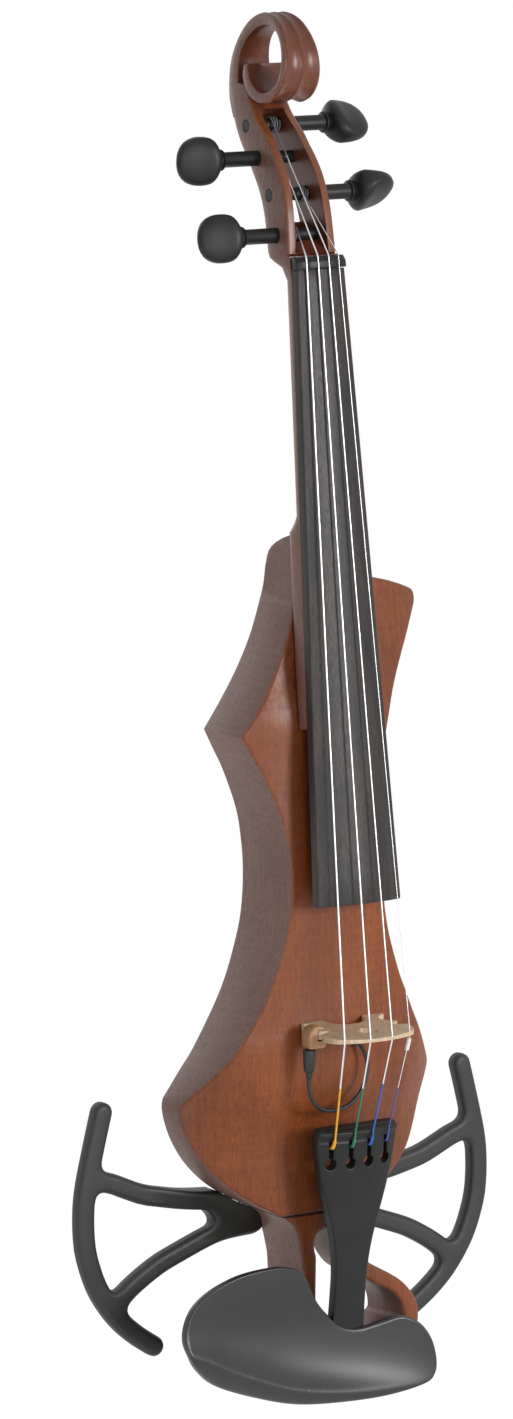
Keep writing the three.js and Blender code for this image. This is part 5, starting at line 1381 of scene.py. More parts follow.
@dataclass
class Volute:
    """The open ring of the scroll, with two flutes round its outside."""

    centre_along: float = 90.0
    centre_back: float = 24.3
    radius: float = 20.2
    wall: float = 5.6
    top_width: float = 11.4
    eye_width: float = 21.0
    flute: float = 1.1
    rim: float = 1.3
    start: float = -44.0
    end: float = 354.0
    outer: Table = (
        (-44, 1.62), (-30, 1.475), (-17, 1.345), (0, 1.228), (30, 1.094), (60, 1.03), (90, 1),
        (120, 0.972), (150, 0.95), (180, 0.97), (210, 1.0), (240, 0.968), (270, 0.912),
        (300, 0.825), (330, 0.715), (354, 0.585),
    )
    walls: Table = (
        (-44, 1.7), (-30, 1.6), (0, 1.2), (30, 1.02), (60, 1.02), (90, 1), (120, 0.8),
        (150, 0.6), (180, 0.56), (210, 0.6), (240, 0.72), (270, 0.88), (300, 1.05),
        (330, 0.95), (354, 0.62),
    )
    widths: Table = (
        (-44, 0.78), (-20, 0.66), (0, 0.52), (45, 0.13), (90, 0), (135, 0.28), (180, 0.66),
        (225, 0.88), (270, 1), (310, 1), (354, 0.86),
    )

    def section(self, angle: float) -> list[tuple[float, float]]:
        """Section of the ring.

        Args:
            angle: its place round the ring, in degrees.

        Returns:
            Pairs of X and radius.
        """
        outer = self.radius * read_table(self.outer, angle)
        inner = outer - self.wall * read_table(self.walls, angle)
        half = lerp(self.top_width, self.eye_width, read_table(self.widths, angle)) / 2
        land = half - self.rim
        right = [
            (half - 0.35, outer - self.rim * 0.25), (half, outer - self.rim * 0.7),
            (half, inner + 0.8), (half - 0.2, inner + 0.25), (half - 0.7, inner),
        ]
        flutes = []
        for x in spread(-land, land, 32):
            flutes.append((x, outer - self.flute * math.sin(math.pi * (abs(x) / land)) ** 0.7))
        return [(-x, radius) for x, radius in reversed(right)] + flutes + right

    def mould(self) -> Mould:
        """The ring's mould, in the neck's frame.

        Returns:
            The mould.
        """
        rings = []
        for angle in spread(self.start, self.end, 120):
            y, z = math.cos(math.radians(angle)), math.sin(math.radians(angle))
            ring = []
            for x, radius in self.section(angle):
                place = (x, self.centre_back + radius * y, self.centre_along + radius * z)
                ring.append(Vector(place))
            rings.append(ring)
        return Mould().skin(rings)


NECK = Neck()


# Body and tail frame


class JackHole(Enum):
    """The two steps of the jack's hole, each with its depth and its radius."""

    BARREL = (18.1, 5.9)
    SEAT = (1.9, 7.3)


@dataclass(frozen=True)
class Dowels:
    """The two dowels between the body and the tail frame."""

    x: float = 11.0
    y: float = -14.8
    bore: float = 4.3

    def cut(self, made: Mould, low: float, high: float) -> None:
        """Bores their holes.

        Args:
            made: what they are bored into.
            low: lower end of the holes.
            high: upper end.
        """
        for x in (-self.x, self.x):
            made.cut_rod(Vector((x, self.y, low)), Vector((x, self.y, high)), self.bore)


@dataclass
class Body:
    """The carved body with its pockets."""

    front_rim: float = 1.1
    back_rim: float = 1.4
    grid_x: tuple[float, float, int] = (-64.5, 55.5, 40)
    grid_z: tuple[float, float, int] = (-81, 207, 96)
    lead_hole: tuple[float, float] = (5.5, -5.8)
    lead_bore: float = 2.3
    pin_bore: float = 1.9
    jack_point: int = 14
    jack_y: float = -10.0
    rooms: Sequence[tuple[tuple[float, ...], tuple[float, ...]]] = (
        ((-28.4, -24, -66), (28.4, 3, -12)), ((-20, -24, 10), (20, 3, 76)),
    )

    def bore_pin(self, made: Mould, node: str) -> None:
        """Bores a hole that is a little longer than a straight pin's solid.

        Args:
            made: what it is bored into.
            node: the pin's name.
        """
        start, end = pin_ends(node)
        way = (end - start).normalized() * GAP
        made.cut_rod(start - way, end + way, self.pin_bore)

    def jack_place(self) -> tuple[Vector, Vector]:
        """Where the jack sits on the treble side.

        Returns:
            The place, and the way that the jack faces.
        """
        points, k = BODY.edge(BODY.treble_bout, 2 * self.jack_point), self.jack_point
        way = (points[k + 1] - points[k - 1]).normalized()
        return Vector((points[k].x, self.jack_y, points[k].y)), Vector((way.y, 0, -way.x))

    def mould(self) -> Mould:
        """The body's mould.

        Returns:
            The mould.
        """
        rims, grid = (self.front_rim, self.back_rim), (spread(*self.grid_x), spread(*self.grid_z))
        made = Mould().slab([BODY.outline()], BODY.front, BODY.back, rims, grid)
        made.join(NECK.root_mould(GAP), Join.CUT)
        for low, high in self.rooms:
            room = Mould.box(low, high).join(Mould.of_node("body"), Join.CUT)
            made.join(room, Join.CUT)
        rim, out = self.jack_place()
        for depth, radius in (hole.value for hole in JackHole):
            made.cut_rod(rim + out * 3, rim - out * depth, radius, 48)
        for side in ("bass", "treble"):
            for which in ("outer", "inner"):
                self.bore_pin(made, f"wing_pin_{side}_{which}")
        DOWELS.cut(made, -90, -64)
        x, z = self.lead_hole
        return made.cut_rod(Vector((x, -60, z)), Vector((x, -30, z)), self.lead_bore)


def pin_ends(node: str) -> tuple[Vector, Vector]:
    """The two ends of a straight pin's solid, on its axis.

    Args:
        node: the pin's name.

    Returns:
        The ends.
    """
    points = [vert.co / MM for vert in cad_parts[node].data.vertices]
    middle = sum(points, Vector()) / len(points)
    far = max(points, key=lambda point: (point - middle).length)
    near = [point for point in points if (point - far).length < (point + far - 2 * middle).length]
    end = sum(near, Vector()) / len(near)
    return 2 * middle - end, end


DOWELS = Dowels()


@dataclass
class TailFrame:
    """Seam bar, two arms and the bar that carries the button, saddle and chinrest."""

    length: float = 71.0
    half: float = 50.0
    depth: float = 29.6
    seam_depth: float = 31.6
    rim: float = 1.5
    button_bore: float = 3.9
    button_depth: float = 9.3
    outer: Table = (
        (-0.456, -0.006), (-0.364, -0.056), (-0.302, -0.142), (-0.262, -0.252), (-0.24, -0.346),
        (-0.24, -0.53), (-0.3, -0.7), (-0.48, -0.8), (-0.72, -0.825), (-0.88, -0.85),
        (-0.93, -0.9), (-0.87, -0.965), (-0.36, -0.993), (0, -1), (0.36, -0.99), (0.66, -0.96),
        (0.86, -0.9), (0.945, -0.83), (0.97, -0.776), (0.968, -0.7), (0.938, -0.634),
        (0.876, -0.572), (0.792, -0.513), (0.676, -0.458), (0.55, -0.408), (0.444, -0.362),
        (0.382, -0.299), (0.33, -0.204), (0.32, -0.12), (0.37, -0.05), (0.42, -0.006),
    )
    hole: Table = (
        (0, -0.108), (-0.096, -0.131), (-0.126, -0.19), (-0.116, -0.246), (-0.096, -0.311),
        (-0.096, -0.6), (-0.04, -0.725), (0.12, -0.796), (0.4, -0.81), (0.66, -0.8),
        (0.79, -0.768), (0.812, -0.735), (0.792, -0.658), (0.738, -0.603), (0.654, -0.556),
        (0.528, -0.513), (0.424, -0.466), (0.34, -0.42), (0.25, -0.331), (0.18, -0.204),
        (0.11, -0.127),
    )

    @property
    def seam(self) -> float:
        """Z of the seam with the body."""
        return -BODY.lower

    @property
    def end(self) -> float:
        """Z of the lower end."""
        return self.seam - self.length

    def place(self, x: float, z: float) -> tuple[float, float]:
        """A place from shares of the half width and the length."""
        return x * self.half, self.seam + z * self.length

    def front(self, _: float, z: float) -> float:
        """Y of the front."""
        return -lerp(self.seam_depth, self.depth, clamp((self.seam - z) / (self.length / 3)))

    def mould(self) -> Mould:
        """The frame's mould.

        Returns:
            The mould.
        """
        outline = even_curve(plan(self.outer, self.place), 150)
        hole = even_curve(plan((*self.hole, self.hole[0]), self.place), 110)[:-1]
        grid = ((), spread(self.end + 2, self.seam - 2, 34))
        made = Mould().slab([outline, hole], self.front, level(0.0), (self.rim, self.rim), grid)
        DOWELS.cut(made, -87, -80)
        bottom, up = Vector((0, -self.depth / 2, self.end)), Vector((0, 0, 1))
        return made.cut_rod(bottom + up * self.button_depth, bottom - up * 3, self.button_bore)


TAIL = TailFrame()


# Pegs


@dataclass
class Peg:
    """A turned peg with a heart-shaped thumb-piece, made along X at the origin."""

    shaft: float = 2.7
    shoulder: float = 3.3
    collar: float = 4.7
    collar_width: float = 2.6
    neck: float = 16.4
    thumb: float = 20.1
    thumb_half_width: float = 10.4
    thumb_half_thick: float = 6.9
    sides: int = 48
    beads: Table = (
        (0, 0.86), (0.35, 0.97), (0.8, 1), (1.15, 0.9), (1.35, 0.84), (1.55, 0.9), (1.85, 1),
        (2.3, 0.96), (2.6, 0.88),
    )
    thumb_shares: Sequence[tuple[float, float, float]] = (
        (0, 0.46, 0.66), (0.02, 0.58, 0.8), (0.05, 0.7, 0.92), (0.09, 0.8, 0.98),
        (0.15, 0.89, 1), (0.22, 0.95, 0.97), (0.3, 0.985, 0.88), (0.4, 1, 0.78),
        (0.5, 0.995, 0.7), (0.6, 0.965, 0.63), (0.7, 0.905, 0.56), (0.78, 0.83, 0.5),
        (0.86, 0.71, 0.42), (0.92, 0.57, 0.34), (0.965, 0.4, 0.25), (0.99, 0.24, 0.16),
        (1, 0.12, 0.08),
    )

    def mould(self, along: float) -> Mould:
        """The peg's mould.

        Args:
            along: the peg's place along the head.

        Returns:
            The mould.
        """
        far = NECK.half(along)
        inside = far - NECK.cheek
        collar = NECK.half(0) + self.neck - GAP
        pairs = [
            (-far, self.shaft * 0.5), (-far, self.shaft * 0.88), (-far + 0.4, self.shaft),
            (inside + GAP, self.shaft), (inside + 2 * GAP, self.shoulder),
            (collar - 0.6, self.shoulder), (collar - 0.2, self.shoulder * 1.06),
        ]
        pairs += [(collar + away, self.collar * share) for away, share in self.beads]
        rings = [self.ring(x, radius, radius, 0.0) for x, radius in pairs]
        sunk = self.collar_width * 0.3
        start = collar + self.collar_width * 0.8 + sunk
        for share, wide, thick in self.thumb_shares:
            x = start + share * (self.thumb - sunk)
            thick, wide = thick * self.thumb_half_thick, wide * self.thumb_half_width
            rings.append(self.ring(x, thick, wide, min(share / 0.2, 1.0)))
        return Mould().skin(rings)

    def ring(self, x: float, thick: float, wide: float, flat: float) -> list[Vector]:
        """One section of the peg.

        Args:
            x: its place along the peg.
            thick: half its thickness.
            wide: half its width.
            flat: 0 for an ellipse and 1 for two flat sides with round edges.

        Returns:
            The section's points.
        """
        powers = lerp(1, 0.62, flat), lerp(1, 0.9, flat)
        points = []
        for angle in corners(self.sides):
            c, s = math.cos(angle), math.sin(angle)
            deep = thick * math.copysign(abs(c) ** powers[0], c)
            points.append(Vector((x, deep, wide * math.copysign(abs(s) ** powers[1], s))))
        return points


# Tailpiece and strings


@dataclass
class Tailpiece:
    """The arched tailpiece with four keyholes and ridges under the strings."""

    start: float = 41.0
    length: float = 100.0
    half: float = 20.2
    front_height: float = 57.6
    end_height: float = 46.0
    arch: float = 60.0
    thickness: float = 5.2
    hole_radius: float = 2.4
    slot_width: float = 1.9
    spread: float = 27.6
    slot_start: float = 5.5
    hole: float = 15.5
    ridge: float = 0.9
    ridge_from: float = 1.2
    ridge_to: float = 3.4
    ridge_half: float = 1.5
    groove: float = 0.35
    groove_from: float = 4.2
    groove_width: float = 2.0
    rim: float = 0.7
    gut_x: float = 3.4
    gut_bore: float = 1.4
    gut_depth: float = 9.3
    shares: Table = (
        (0, 0.93), (0.012, 0.985), (0.05, 0.998), (0.1, 0.975), (0.18, 0.905), (0.27, 0.81),
        (0.36, 0.685), (0.45, 0.56), (0.54, 0.46), (0.66, 0.395), (0.8, 0.39), (0.92, 0.4),
        (0.985, 0.36), (1, 0.24),
    )

    def pose(self) -> Matrix:
        """Pose of the tailpiece's own frame, whose origin is at its upper crown."""
        slope = math.atan2(self.front_height - self.end_height, self.length)
        place = (0, -self.front_height, -self.start)
        return Matrix.Translation(place) @ Matrix.Rotation(slope, 4, "X")

    def drop(self, x: float) -> float:
        """How far the arch falls away at a distance from the middle."""
        return self.arch - math.sqrt(self.arch**2 - x**2)

    def front(self, x: float, z: float) -> float:
        """Y of the front, with the ridge and the groove at the upper end.

        Args:
            x: place across the tailpiece.
            z: place along it.

        Returns:
            Its Y.
        """
        rise, away = 0.0, -z - self.groove_from
        if -self.ridge_to - 0.4 < z < -self.ridge_from + 0.4:
            middle = -(self.ridge_from + self.ridge_to) / 2
            rise = self.ridge * max(0.0, 1 - abs((z - middle) / self.ridge_half) ** 4)
        elif 0 < away < self.groove_width:
            rise = -self.groove * max(0.0, math.sin(math.pi * away / self.groove_width))
        return self.drop(x) - rise

    def keyhole(self, x: float) -> Outline:
        """Outline of a string's slot with its round hole.

        Args:
            x: its middle.

        Returns:
            The points.
        """
        half = self.slot_width / 2
        slot = [Vector((x - half, -self.slot_start)), Vector((x + half, -self.slot_start))]
        gap = math.degrees(math.asin(half / self.hole_radius))
        return slot + arc(Vector((x, -self.hole)), self.hole_radius, 90 - gap, -270 + gap, 24)

    def mould(self) -> Mould:
        """The tailpiece's mould.

        Returns:
            The mould.
        """
        right = [Vector((x * self.half, -z * self.length)) for z, x in self.shares]
        right = even_curve(right, 60)
        left = [Vector((-point.x, point.y)) for point in reversed(right)]
        keyholes = [self.keyhole(share * self.spread) for share in STRINGS.shares]
        made = Mould().slab(
            [right + left, *keyholes],
            self.front,
            lambda x, z: self.drop(x) + self.thickness,
            (self.rim, self.rim),
            (spread(-19, 19, 38), (*spread(-0.4, -7, 33), *spread(-9, -98, 30))),
            3,
        )
        for x in (-self.gut_x, self.gut_x):
            low = Vector((x, self.thickness / 2, -self.length - 3))
            high = Vector((x, self.thickness / 2, -self.length + self.gut_depth))
            made.cut_rod(low, high, self.gut_bore)
        return made.move(self.pose())


TAILPIECE = Tailpiece()


@dataclass
class StringSet:
    """The four strings, each from its peg over the nut and the bridge into the tailpiece."""

    silk_start: tuple[float, ...] = (21.4, 22.7, 21.8, 24.8)
    radii: tuple[float, ...] = (0.42, 0.39, 0.35, 0.2)
    silk_extra: float = 0.12
    sides: int = 12
    ball_points: int = 6
    ball_growth: float = 1.7

    def winding(self, i: int) -> list[Vector]:
        """The turns of a string on its peg.

        Args:
            i: the string's number.

        Returns:
            The places along them.
        """
        name = STRINGS.names[i]
        _, along, back, side, _ = next(row for row in NECK.pegs if row[0] == name)
        along, back = along * NECK.box_length, back * NECK.depth
        thick = STRINGS.diameters[i]
        radius = Peg().shaft + GAP + thick / 2
        x = STRINGS.shares[i] * STRINGS.nut_spread
        away = Vector((STRINGS.drop(abs(x)) - back, NECK.nut - along))
        leave = math.atan2(away.y, away.x) - math.acos(radius / away.length)
        last = NECK.half(along) - NECK.cheek - thick - GAP
        points = []
        for share in spread(0, 1, STRINGS.turns * 28):
            turn = leave - (1 - share) * STRINGS.turns * 2 * math.pi
            across = side * (last - share * STRINGS.turns * (thick + STRINGS.turn_gap))
            y, z = back + radius * math.cos(turn), along + radius * math.sin(turn)
            points.append(NECK_POSE @ Vector((across, y, z)))
        return points

    def run(self, i: int) -> list[Vector]:
        """The corners of a string's run from the nut to the tailpiece.

        Args:
            i: the string's number.

        Returns:
            The corners: behind the nut, over it, the bridge, and four at the tailpiece.
        """
        thick, share = STRINGS.diameters[i], STRINGS.shares[i]
        places = []
        for width, z in (
            (STRINGS.nut_spread, NECK.nut), (STRINGS.nut_spread, 0),
            (STRINGS.bridge_spread, -STRINGS.length),
        ):
            x = share * width
            places.append(NECK_POSE @ Vector((x, STRINGS.drop(abs(x)), z)))
        tail, x = TAILPIECE, share * TAILPIECE.spread
        rise = tail.ridge + GAP + thick / 2
        for depth, z in (
            (-rise, -tail.ridge_from),
            (-rise, -tail.ridge_to - thick / 2),
            (-0.3, -tail.slot_start - 2.2),
            (tail.thickness * 0.8, -tail.slot_start - 3.6),
        ):
            places.append(tail.pose() @ Vector((x, tail.drop(x) + depth, z)))
        return places

    def softened(self, points: Sequence[Vector], reach: float) -> list[Vector]:
        """Rounds the corners of a line of straight pieces.

        Args:
            points: the line's corners.
            reach: how far from a corner its bend starts.

        Returns:
            The rounded line.
        """
        line = [points[0]]
        for before, corner, after in zip(points, points[1:], points[2:]):
            into, away = corner - before, after - corner
            a = corner - into.normalized() * min(reach, into.length / 2)
            b = corner + away.normalized() * min(reach, away.length / 2)
            for t in (0, 0.25, 0.5, 0.75, 1):
                line.append((1 - t) ** 2 * a + 2 * t * (1 - t) * corner + t**2 * b)
        line.append(points[-1])
        return line

    def build(self, bench: Bench) -> None:
        """Casts the strings and their silks.

        Args:
            bench: casts them.
        """
        for i, name in enumerate(STRINGS.names):
            radius, places, winding = self.radii[i], self.run(i), self.winding(i)
            away = (places[3] - places[2]).normalized()
            cut = places[2] + away * self.silk_start[i]
            leave = winding[-1].lerp(places[0], 0.25)
            metal = self.softened([leave, *places[:3], cut + away * 1.0], 1.2)
            made = Mould().tube(metal, radius, self.sides)
            node = f"string_{name}"
            bench.cast(made, f"wound_{node}", "string_winding", (node,))
            winding.append(leave + (leave - winding[-1]).normalized() * 0.8)
            made = Mould().tube(winding, STRINGS.diameters[i] / 2, self.sides)
            bench.cast(made, f"peg_silk_{name}", "black_silk_painted_sheen")
            silk = self.softened([cut, *places[3:]], 0.7)
            radii = [radius + self.silk_extra / 2] * len(silk)
            for k in range(len(silk) - self.ball_points - 1, len(silk) - 1):
                radii[k] *= self.ball_growth
            made = Mould().tube(silk, radii, self.sides)
            bench.cast(made, f"silk_{name}", f"silk_{name}")


# Bridge and pickup


@dataclass
class Bridge:
    """The carved bridge, whose upper face slopes so that it is thinner towards its crown."""

    half: float = 22.0
    foot_below: float = 1.0
    foot_above: float = 4.2
    top_thickness: float = 1.6
    above_strings: float = 0.25
    crown_share: float = 0.86
    rim: float = 0.3
    half_shares: Table = (
        (0, 0.27), (0.16, 0.262), (0.3, 0.22), (0.4, 0.13), (0.46, -0.02), (0.93, -0.02),
        (0.93, 0.045), (0.8, 0.1), (0.7, 0.17), (0.68, 0.25), (0.74, 0.31), (0.88, 0.335),
        (0.93, 0.375), (0.89, 0.42), (0.8, 0.44), (0.75, 0.455), (0.73, 0.475), (0.73, 0.5),
        (0.76, 0.52), (0.82, 0.53), (0.9, 0.54), (0.98, 0.565), (1, 0.62), (0.97, 0.74),
        (0.93, 0.8),
    )
    heart: Table = (
        (0, 0.5), (0.1, 0.56), (0.17, 0.64), (0.15, 0.71), (0.07, 0.72), (0, 0.68),
        (-0.07, 0.72), (-0.15, 0.71), (-0.17, 0.64), (-0.1, 0.56),
    )

    def mould(self) -> Mould:
        """The bridge's mould, made flat and then stood up.

        Returns:
            The mould.
        """
        foot, top = BODY.front(0, 0), -STRINGS.bridge_height
        height = foot - top

        def place(x: float, h: float) -> tuple[float, float]:
            """X and -Y of a place from shares of half width and height."""
            return x * self.half, -(foot - h * height)

        def lean(foot_end: float, top_end: float) -> Law:
            """Law of a face that runs straight from the feet to the crown."""
            return lambda _, up: lerp(foot_end, top_end, clamp((up + foot) / height))

        rows = plan(self.half_shares, place)
        right = [
            *even_curve(rows[:5], 14)[:-1],
            rows[4],
            *[rows[4].lerp(rows[5], t) for t in (0.25, 0.5, 0.75)],
            rows[5],
            *even_curve(rows[6:], 56),
        ]
        crown_half = self.half * self.crown_share
        crown = []
        for x in spread(crown_half, -crown_half, 30):
            crown.append(Vector((x, -(top + STRINGS.drop(abs(x)) - self.above_strings))))
        left = [Vector((-point.x, point.y)) for point in reversed(right)]
        heart = even_curve(plan((*self.heart, self.heart[0]), place), 40)[:-1]
        made = Mould().slab(
            [[*right, *crown, *left[:-1]], heart],
            lean(-self.foot_below, -self.top_thickness / 2),
            lean(self.foot_above, self.top_thickness / 2),
            (self.rim, self.rim),
            ((), spread(-foot + 1, -top - 1, 24)),
            2,
        )
        made.move(Matrix(((1, 0, 0, 0), (0, 0, -1, 0), (0, 1, 0, 0), (0, 0, 0, 1))))
        for vert in made.mesh.verts:
            vert.co.y = min(vert.co.y, BODY.front(vert.co.x, vert.co.z) - GAP)
        bmesh.ops.recalc_face_normals(made.mesh, faces=made.mesh.faces)
        return made


@dataclass
class Pickup:
    """The clamp-on pickup at the bridge's bass wing, with its relief and lead."""

    lead: float = 1.8
    relief_length: float = 12.4
    relief_radius: float = 2.7
    wing_x: float = -20.5
    centre: tuple[float, float, float] = (2.9, 0, 5.5)
    half_depth: float = 3.6
    rims: tuple[float, float] = (1.4, 1.2)
    head: Sequence[tuple[float, ...]] = (
        (0, 0, 4.9, 0, 190), (-3.1, -3.4, 1.7, 180, 270), (2.4, -3.4, 1.7, 270, 350),
    )
    relief: Sequence[tuple[float, float, float]] = (
        (0, 0.6, 0), (0, 0.85, 0), (0.0241935, 0.95, 0), (0.1, 1, 0), (0.4, 0.94, 0),
        (0.7, 0.86, 0), (0.76, 0.78, 0), (0.79, 0, 0.86), (0.86, 0, 0.8), (0.93, 0, 0.74),
        (1, 0, 0.68),
    )
    shares: Table = (
        (-1.015, -1.1), (-0.92, -1.31), (-0.74, -1.46), (-0.5, -1.53), (-0.24, -1.52),
        (0, -1.44), (0.2, -1.28), (0.34, -1.08), (0.41, -0.86), (0.41, -0.64), (0.35, -0.45),
        (0.28, -0.33),
    )

    def top(self) -> Vector:
        """Where the relief leaves the pickup."""
        depth = lerp(BODY.front(self.wing_x, 0), -STRINGS.bridge_height, 0.31)
        return Vector((self.wing_x - 2.32, depth, -self.centre[2]))

    def route(self) -> list[Vector]:
        """The lead's route from the relief to its hole.

        Returns:
            Its places.
        """
        start = self.top() - Vector((0, 0, self.relief_length + GAP))
        x, z = Body().lead_hole
        surface, half = BODY.front(x, z), Bridge().half
        high = lerp(surface, start.y, 0.45)
        points = [start, start - Vector((0, 0, self.lead * 1.5))]
        for i, (across, up) in enumerate(self.shares):
            y = lerp(start.y, high, i / len(self.shares))
            points.append(Vector((across * half, y, up * half)))
        points.append(Vector((x, surface - 1.2 - 2 * self.lead, z)))
        points.append(Vector((x, surface - GAP, z)))
        return points

    def housing(self) -> Mould:
        """A round head over a tapered block, slotted for the bridge.

        Returns:
            The mould.
        """
        middle = self.top() + Vector(self.centre)
        outline = []
        for x, z, radius, start, end in self.head:
            outline += arc(Vector((middle.x + x, z)), radius, start, end, 24)
        outline = even_line([*outline, outline[0]], 90)[:-1]
        y = middle.y
        faces = level(y - self.half_depth), level(y + self.half_depth)
        made = Mould().slab([outline], *faces, self.rims)
        slot = Mould.box((middle.x - 1.0, y - 9, -1.6), (middle.x + 9, y + 9, 3.5))
        return made.join(slot, Join.CUT)

    def build(self, bench: Bench) -> None:
        """Casts the pickup, its relief and its grommet.

        Args:
            bench: casts them.
        """
        bench.cast(self.housing(), "pickup_housing", "tan_housing", ("pickup",))
        pairs = []
        for share, wide, thin in self.relief:
            radius = wide * self.relief_radius + thin * self.lead
            pairs.append((share * self.relief_length, radius))
        made = Mould().turn(self.top(), Vector((0, 0, -1)), pairs, 40)
        node = "pickup_strain_relief"
        bench.cast(made, "lead_relief", "black_rubber", (node,))
        ring = Mould.of_node("lead_grommet").soften(0.15)
        bench.cast(ring, "grommet", "black_rubber", ("lead_grommet",))

    def build_lead(self, bench: Bench) -> None:
        """Args:
            bench: holds its finish.
        """
        line = even_curve(self.route(), 72)
        data = bpy.data.curves.new("lead", "CURVE")
        data.dimensions = "3D"
        spline = data.splines.new("POLY")
        spline.points.add(len(line) - 1)
        for point, place in zip(spline.points, line):
            point.co = (*(place * MM), 1.0)
        data.bevel_depth = self.lead / 2 * MM
        data.bevel_resolution = 4
        data.use_fill_caps = True
        data.materials.append(bench.finishes["black_rubber"])
        lead = put_in_scene("lead", data)
        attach(lead, ROOT)
        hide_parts("pickup_lead")


# Chinrest


@dataclass
class Chinrest:
    """The dished plate with its foot."""

    half_span: float = 63.9
    depth: float = 64.4
    centre_x: float = -21.9
    below: float = 130.2
    rim_height: float = 54.0
    thickness: float = 5.0
    dish: float = 8.4
    dish_reach: float = 9.5
    ridge: float = 1.5
    rims: tuple[float, float] = (1.1, 1.9)
    foot_width: float = 20.0
    foot_depth: float = 10.0
    foot_x: float = -20.0
    foot_front: float = -44.6
    cork: float = 1.5
    bore: float = 1.8
    bore_front: float = -46.4
    bore_below: float = 3.5
    bore_places: tuple[float, ...] = (-27.0, -13.0)
    crease: Table = (
        (-84, -131), (-74, -135), (-64, -140.2), (-52.8, -145), (-37.5, -151), (-22, -155),
        (-1.5, -158), (24.6, -159.4), (41.3, -159),
    )
    shares: Table = (
        (-0.27, 1), (-0.45, 0.99), (-0.62, 0.935), (-0.8, 0.79), (-0.93, 0.57), (-1, 0.21),
        (-0.975, -0.06), (-0.87, -0.31), (-0.7, -0.55), (-0.4, -0.775), (-0.1, -0.93),
        (0.25, -0.985), (0.6, -0.985), (0.9, -0.9), (0.985, -0.78), (1, -0.58), (0.965, -0.3),
        (0.88, -0.07), (0.75, 0.05), (0.6, 0.01), (0.42, -0.045), (0.28, 0.02), (0.155, 0.245),
        (0.07, 0.45), (-0.02, 0.75), (-0.11, 0.92),
    )

    def place(self, x: float, z: float) -> tuple[float, float]:
        """A place from shares of the half span and the half depth."""
        return self.centre_x + x * self.half_span, -self.below + z * self.depth / 2

    def front(self, x: float, z: float) -> float:
        """Y of the upper face: a dish above the crease, and a skirt that rolls back below it.

        Args:
            x: place across the plate.
            z: place along the violin.

        Returns:
            Its Y.
        """
        above = z - read_table(self.crease, x)
        away = math.hypot(above, self.ridge) - self.ridge
        if above < 0:
            return -self.rim_height + 0.35 * away + 0.05 * away**2
        u = (x - self.centre_x) / self.half_span
        v = max((z + self.below) / (self.depth / 2), 0.0)
        near = ((u + 0.25) / 1.35) ** 2 + (v / 1.05) ** 2
        deep = self.dish * (1 - math.exp(-away / self.dish_reach)) * max(0.0, 1 - near)
        return -self.rim_height + deep

    def mould(self) -> Mould:
        """The chinrest's mould.

        Returns:
            The mould.
        """
        outline = even_curve(plan((*self.shares, self.shares[0]), self.place), 160)[:-1]
        made = Mould().slab(
            [outline],
            self.front,
            lambda x, z: self.front(x, z) + self.thickness,
            self.rims,
            (spread(-84, 40, 104), spread(-161, -99, 52)),
        )
        low, half = TAIL.end + 0.03 * TAIL.length, self.foot_width / 2
        back = -TAIL.depth - GAP - self.cork - GAP
        foot = Mould.box(
            (self.foot_x - half, self.foot_front, low),
            (self.foot_x + half, back, low + self.foot_depth),
        )
        made.join(foot.soften(1.2, 3), Join.ADD)
        z = TAIL.end - self.bore_below
        for x in self.bore_places:
            made.cut_rod(Vector((x, self.bore_front, z)), Vector((x, 0, z)), self.bore)
        return made


# Wings


class Field:
    """Lengths to a set of bars that run into each other with fillets."""

    def __init__(self, bars: Sequence[tuple[Outline, float]], fillet: float) -> None:
        """Takes each bar's line and half width, and the fillets' size."""
        self.bars = bars
        self.fillet = fillet

    def length_to(self, line: Outline, place: Vector) -> float:
        """Length from a place to a line.

        Args:
            line: its points.
            place: the place.

        Returns:
            The length.
        """
        least = math.inf
        for a, b in zip(line, line[1:]):
            way = b - a
            share = clamp((place - a).dot(way) / way.length_squared)
            least = min(least, (place - a - way * share).length_squared)
        return math.sqrt(least)

    def at(self, place: Vector) -> float:
        """Length from a place to the bars' edge.

        Args:
            place: the place.

        Returns:
            The length, negative inside the bars.
        """
        total = math.inf
        for line, half in self.bars:
            other = self.length_to(line, place) - half
            blend = max(self.fillet - abs(total - other), 0.0) if total < math.inf else 0.0
            total = min(total, other) - blend**2 / (4 * self.fillet)
        return total

    def edges(self, low: Vector, high: Vector, cell: float) -> list[Outline]:
        """Walks the edge of the bars through a grid of cells.

        Args:
            low: lower corner of the grid.
            high: upper corner.
            cell: size of a cell.

        Returns:
            The closed outlines, the longest first.
        """
        nx, nz = (int((high.x - low.x) / cell) + 1, int((high.y - low.y) / cell) + 1)
        grid = [[self.at(low + Vector((i, k)) * cell) for k in range(nz)] for i in range(nx)]

        def cross(i: int, k: int, di: int, dk: int) -> Vector:
            """Where the edge crosses one side of a cell."""
            a, b = grid[i][k], grid[i + di][k + dk]
            return low + (Vector((i, k)) + Vector((di, dk)) * (a / (a - b))) * cell

        follow: dict[tuple, list[tuple]] = {}
        places: dict[tuple, Vector] = {}
        for i in range(nx - 1):
            for k in range(nz - 1):
                sides = []
                for key in ((i, k, 1, 0), (i + 1, k, 0, 1), (i, k + 1, 1, 0), (i, k, 0, 1)):
                    a, b = grid[key[0]][key[1]], grid[key[0] + key[2]][key[1] + key[3]]
                    if (a < 0) != (b < 0):
                        places[key] = cross(*key)
                        sides.append(key)
                for one, other in zip(sides[::2], sides[1::2]):
                    follow.setdefault(one, []).append(other)
                    follow.setdefault(other, []).append(one)
        loops = []
        while follow:
            start = next(iter(follow))
            loop, here = [], start
            while here in follow:
                loop.append(places[here])
                ahead = follow.pop(here)
                here = next((key for key in ahead if key in follow), start)
            loops.append(loop)
        return sorted(loops, key=len, reverse=True)


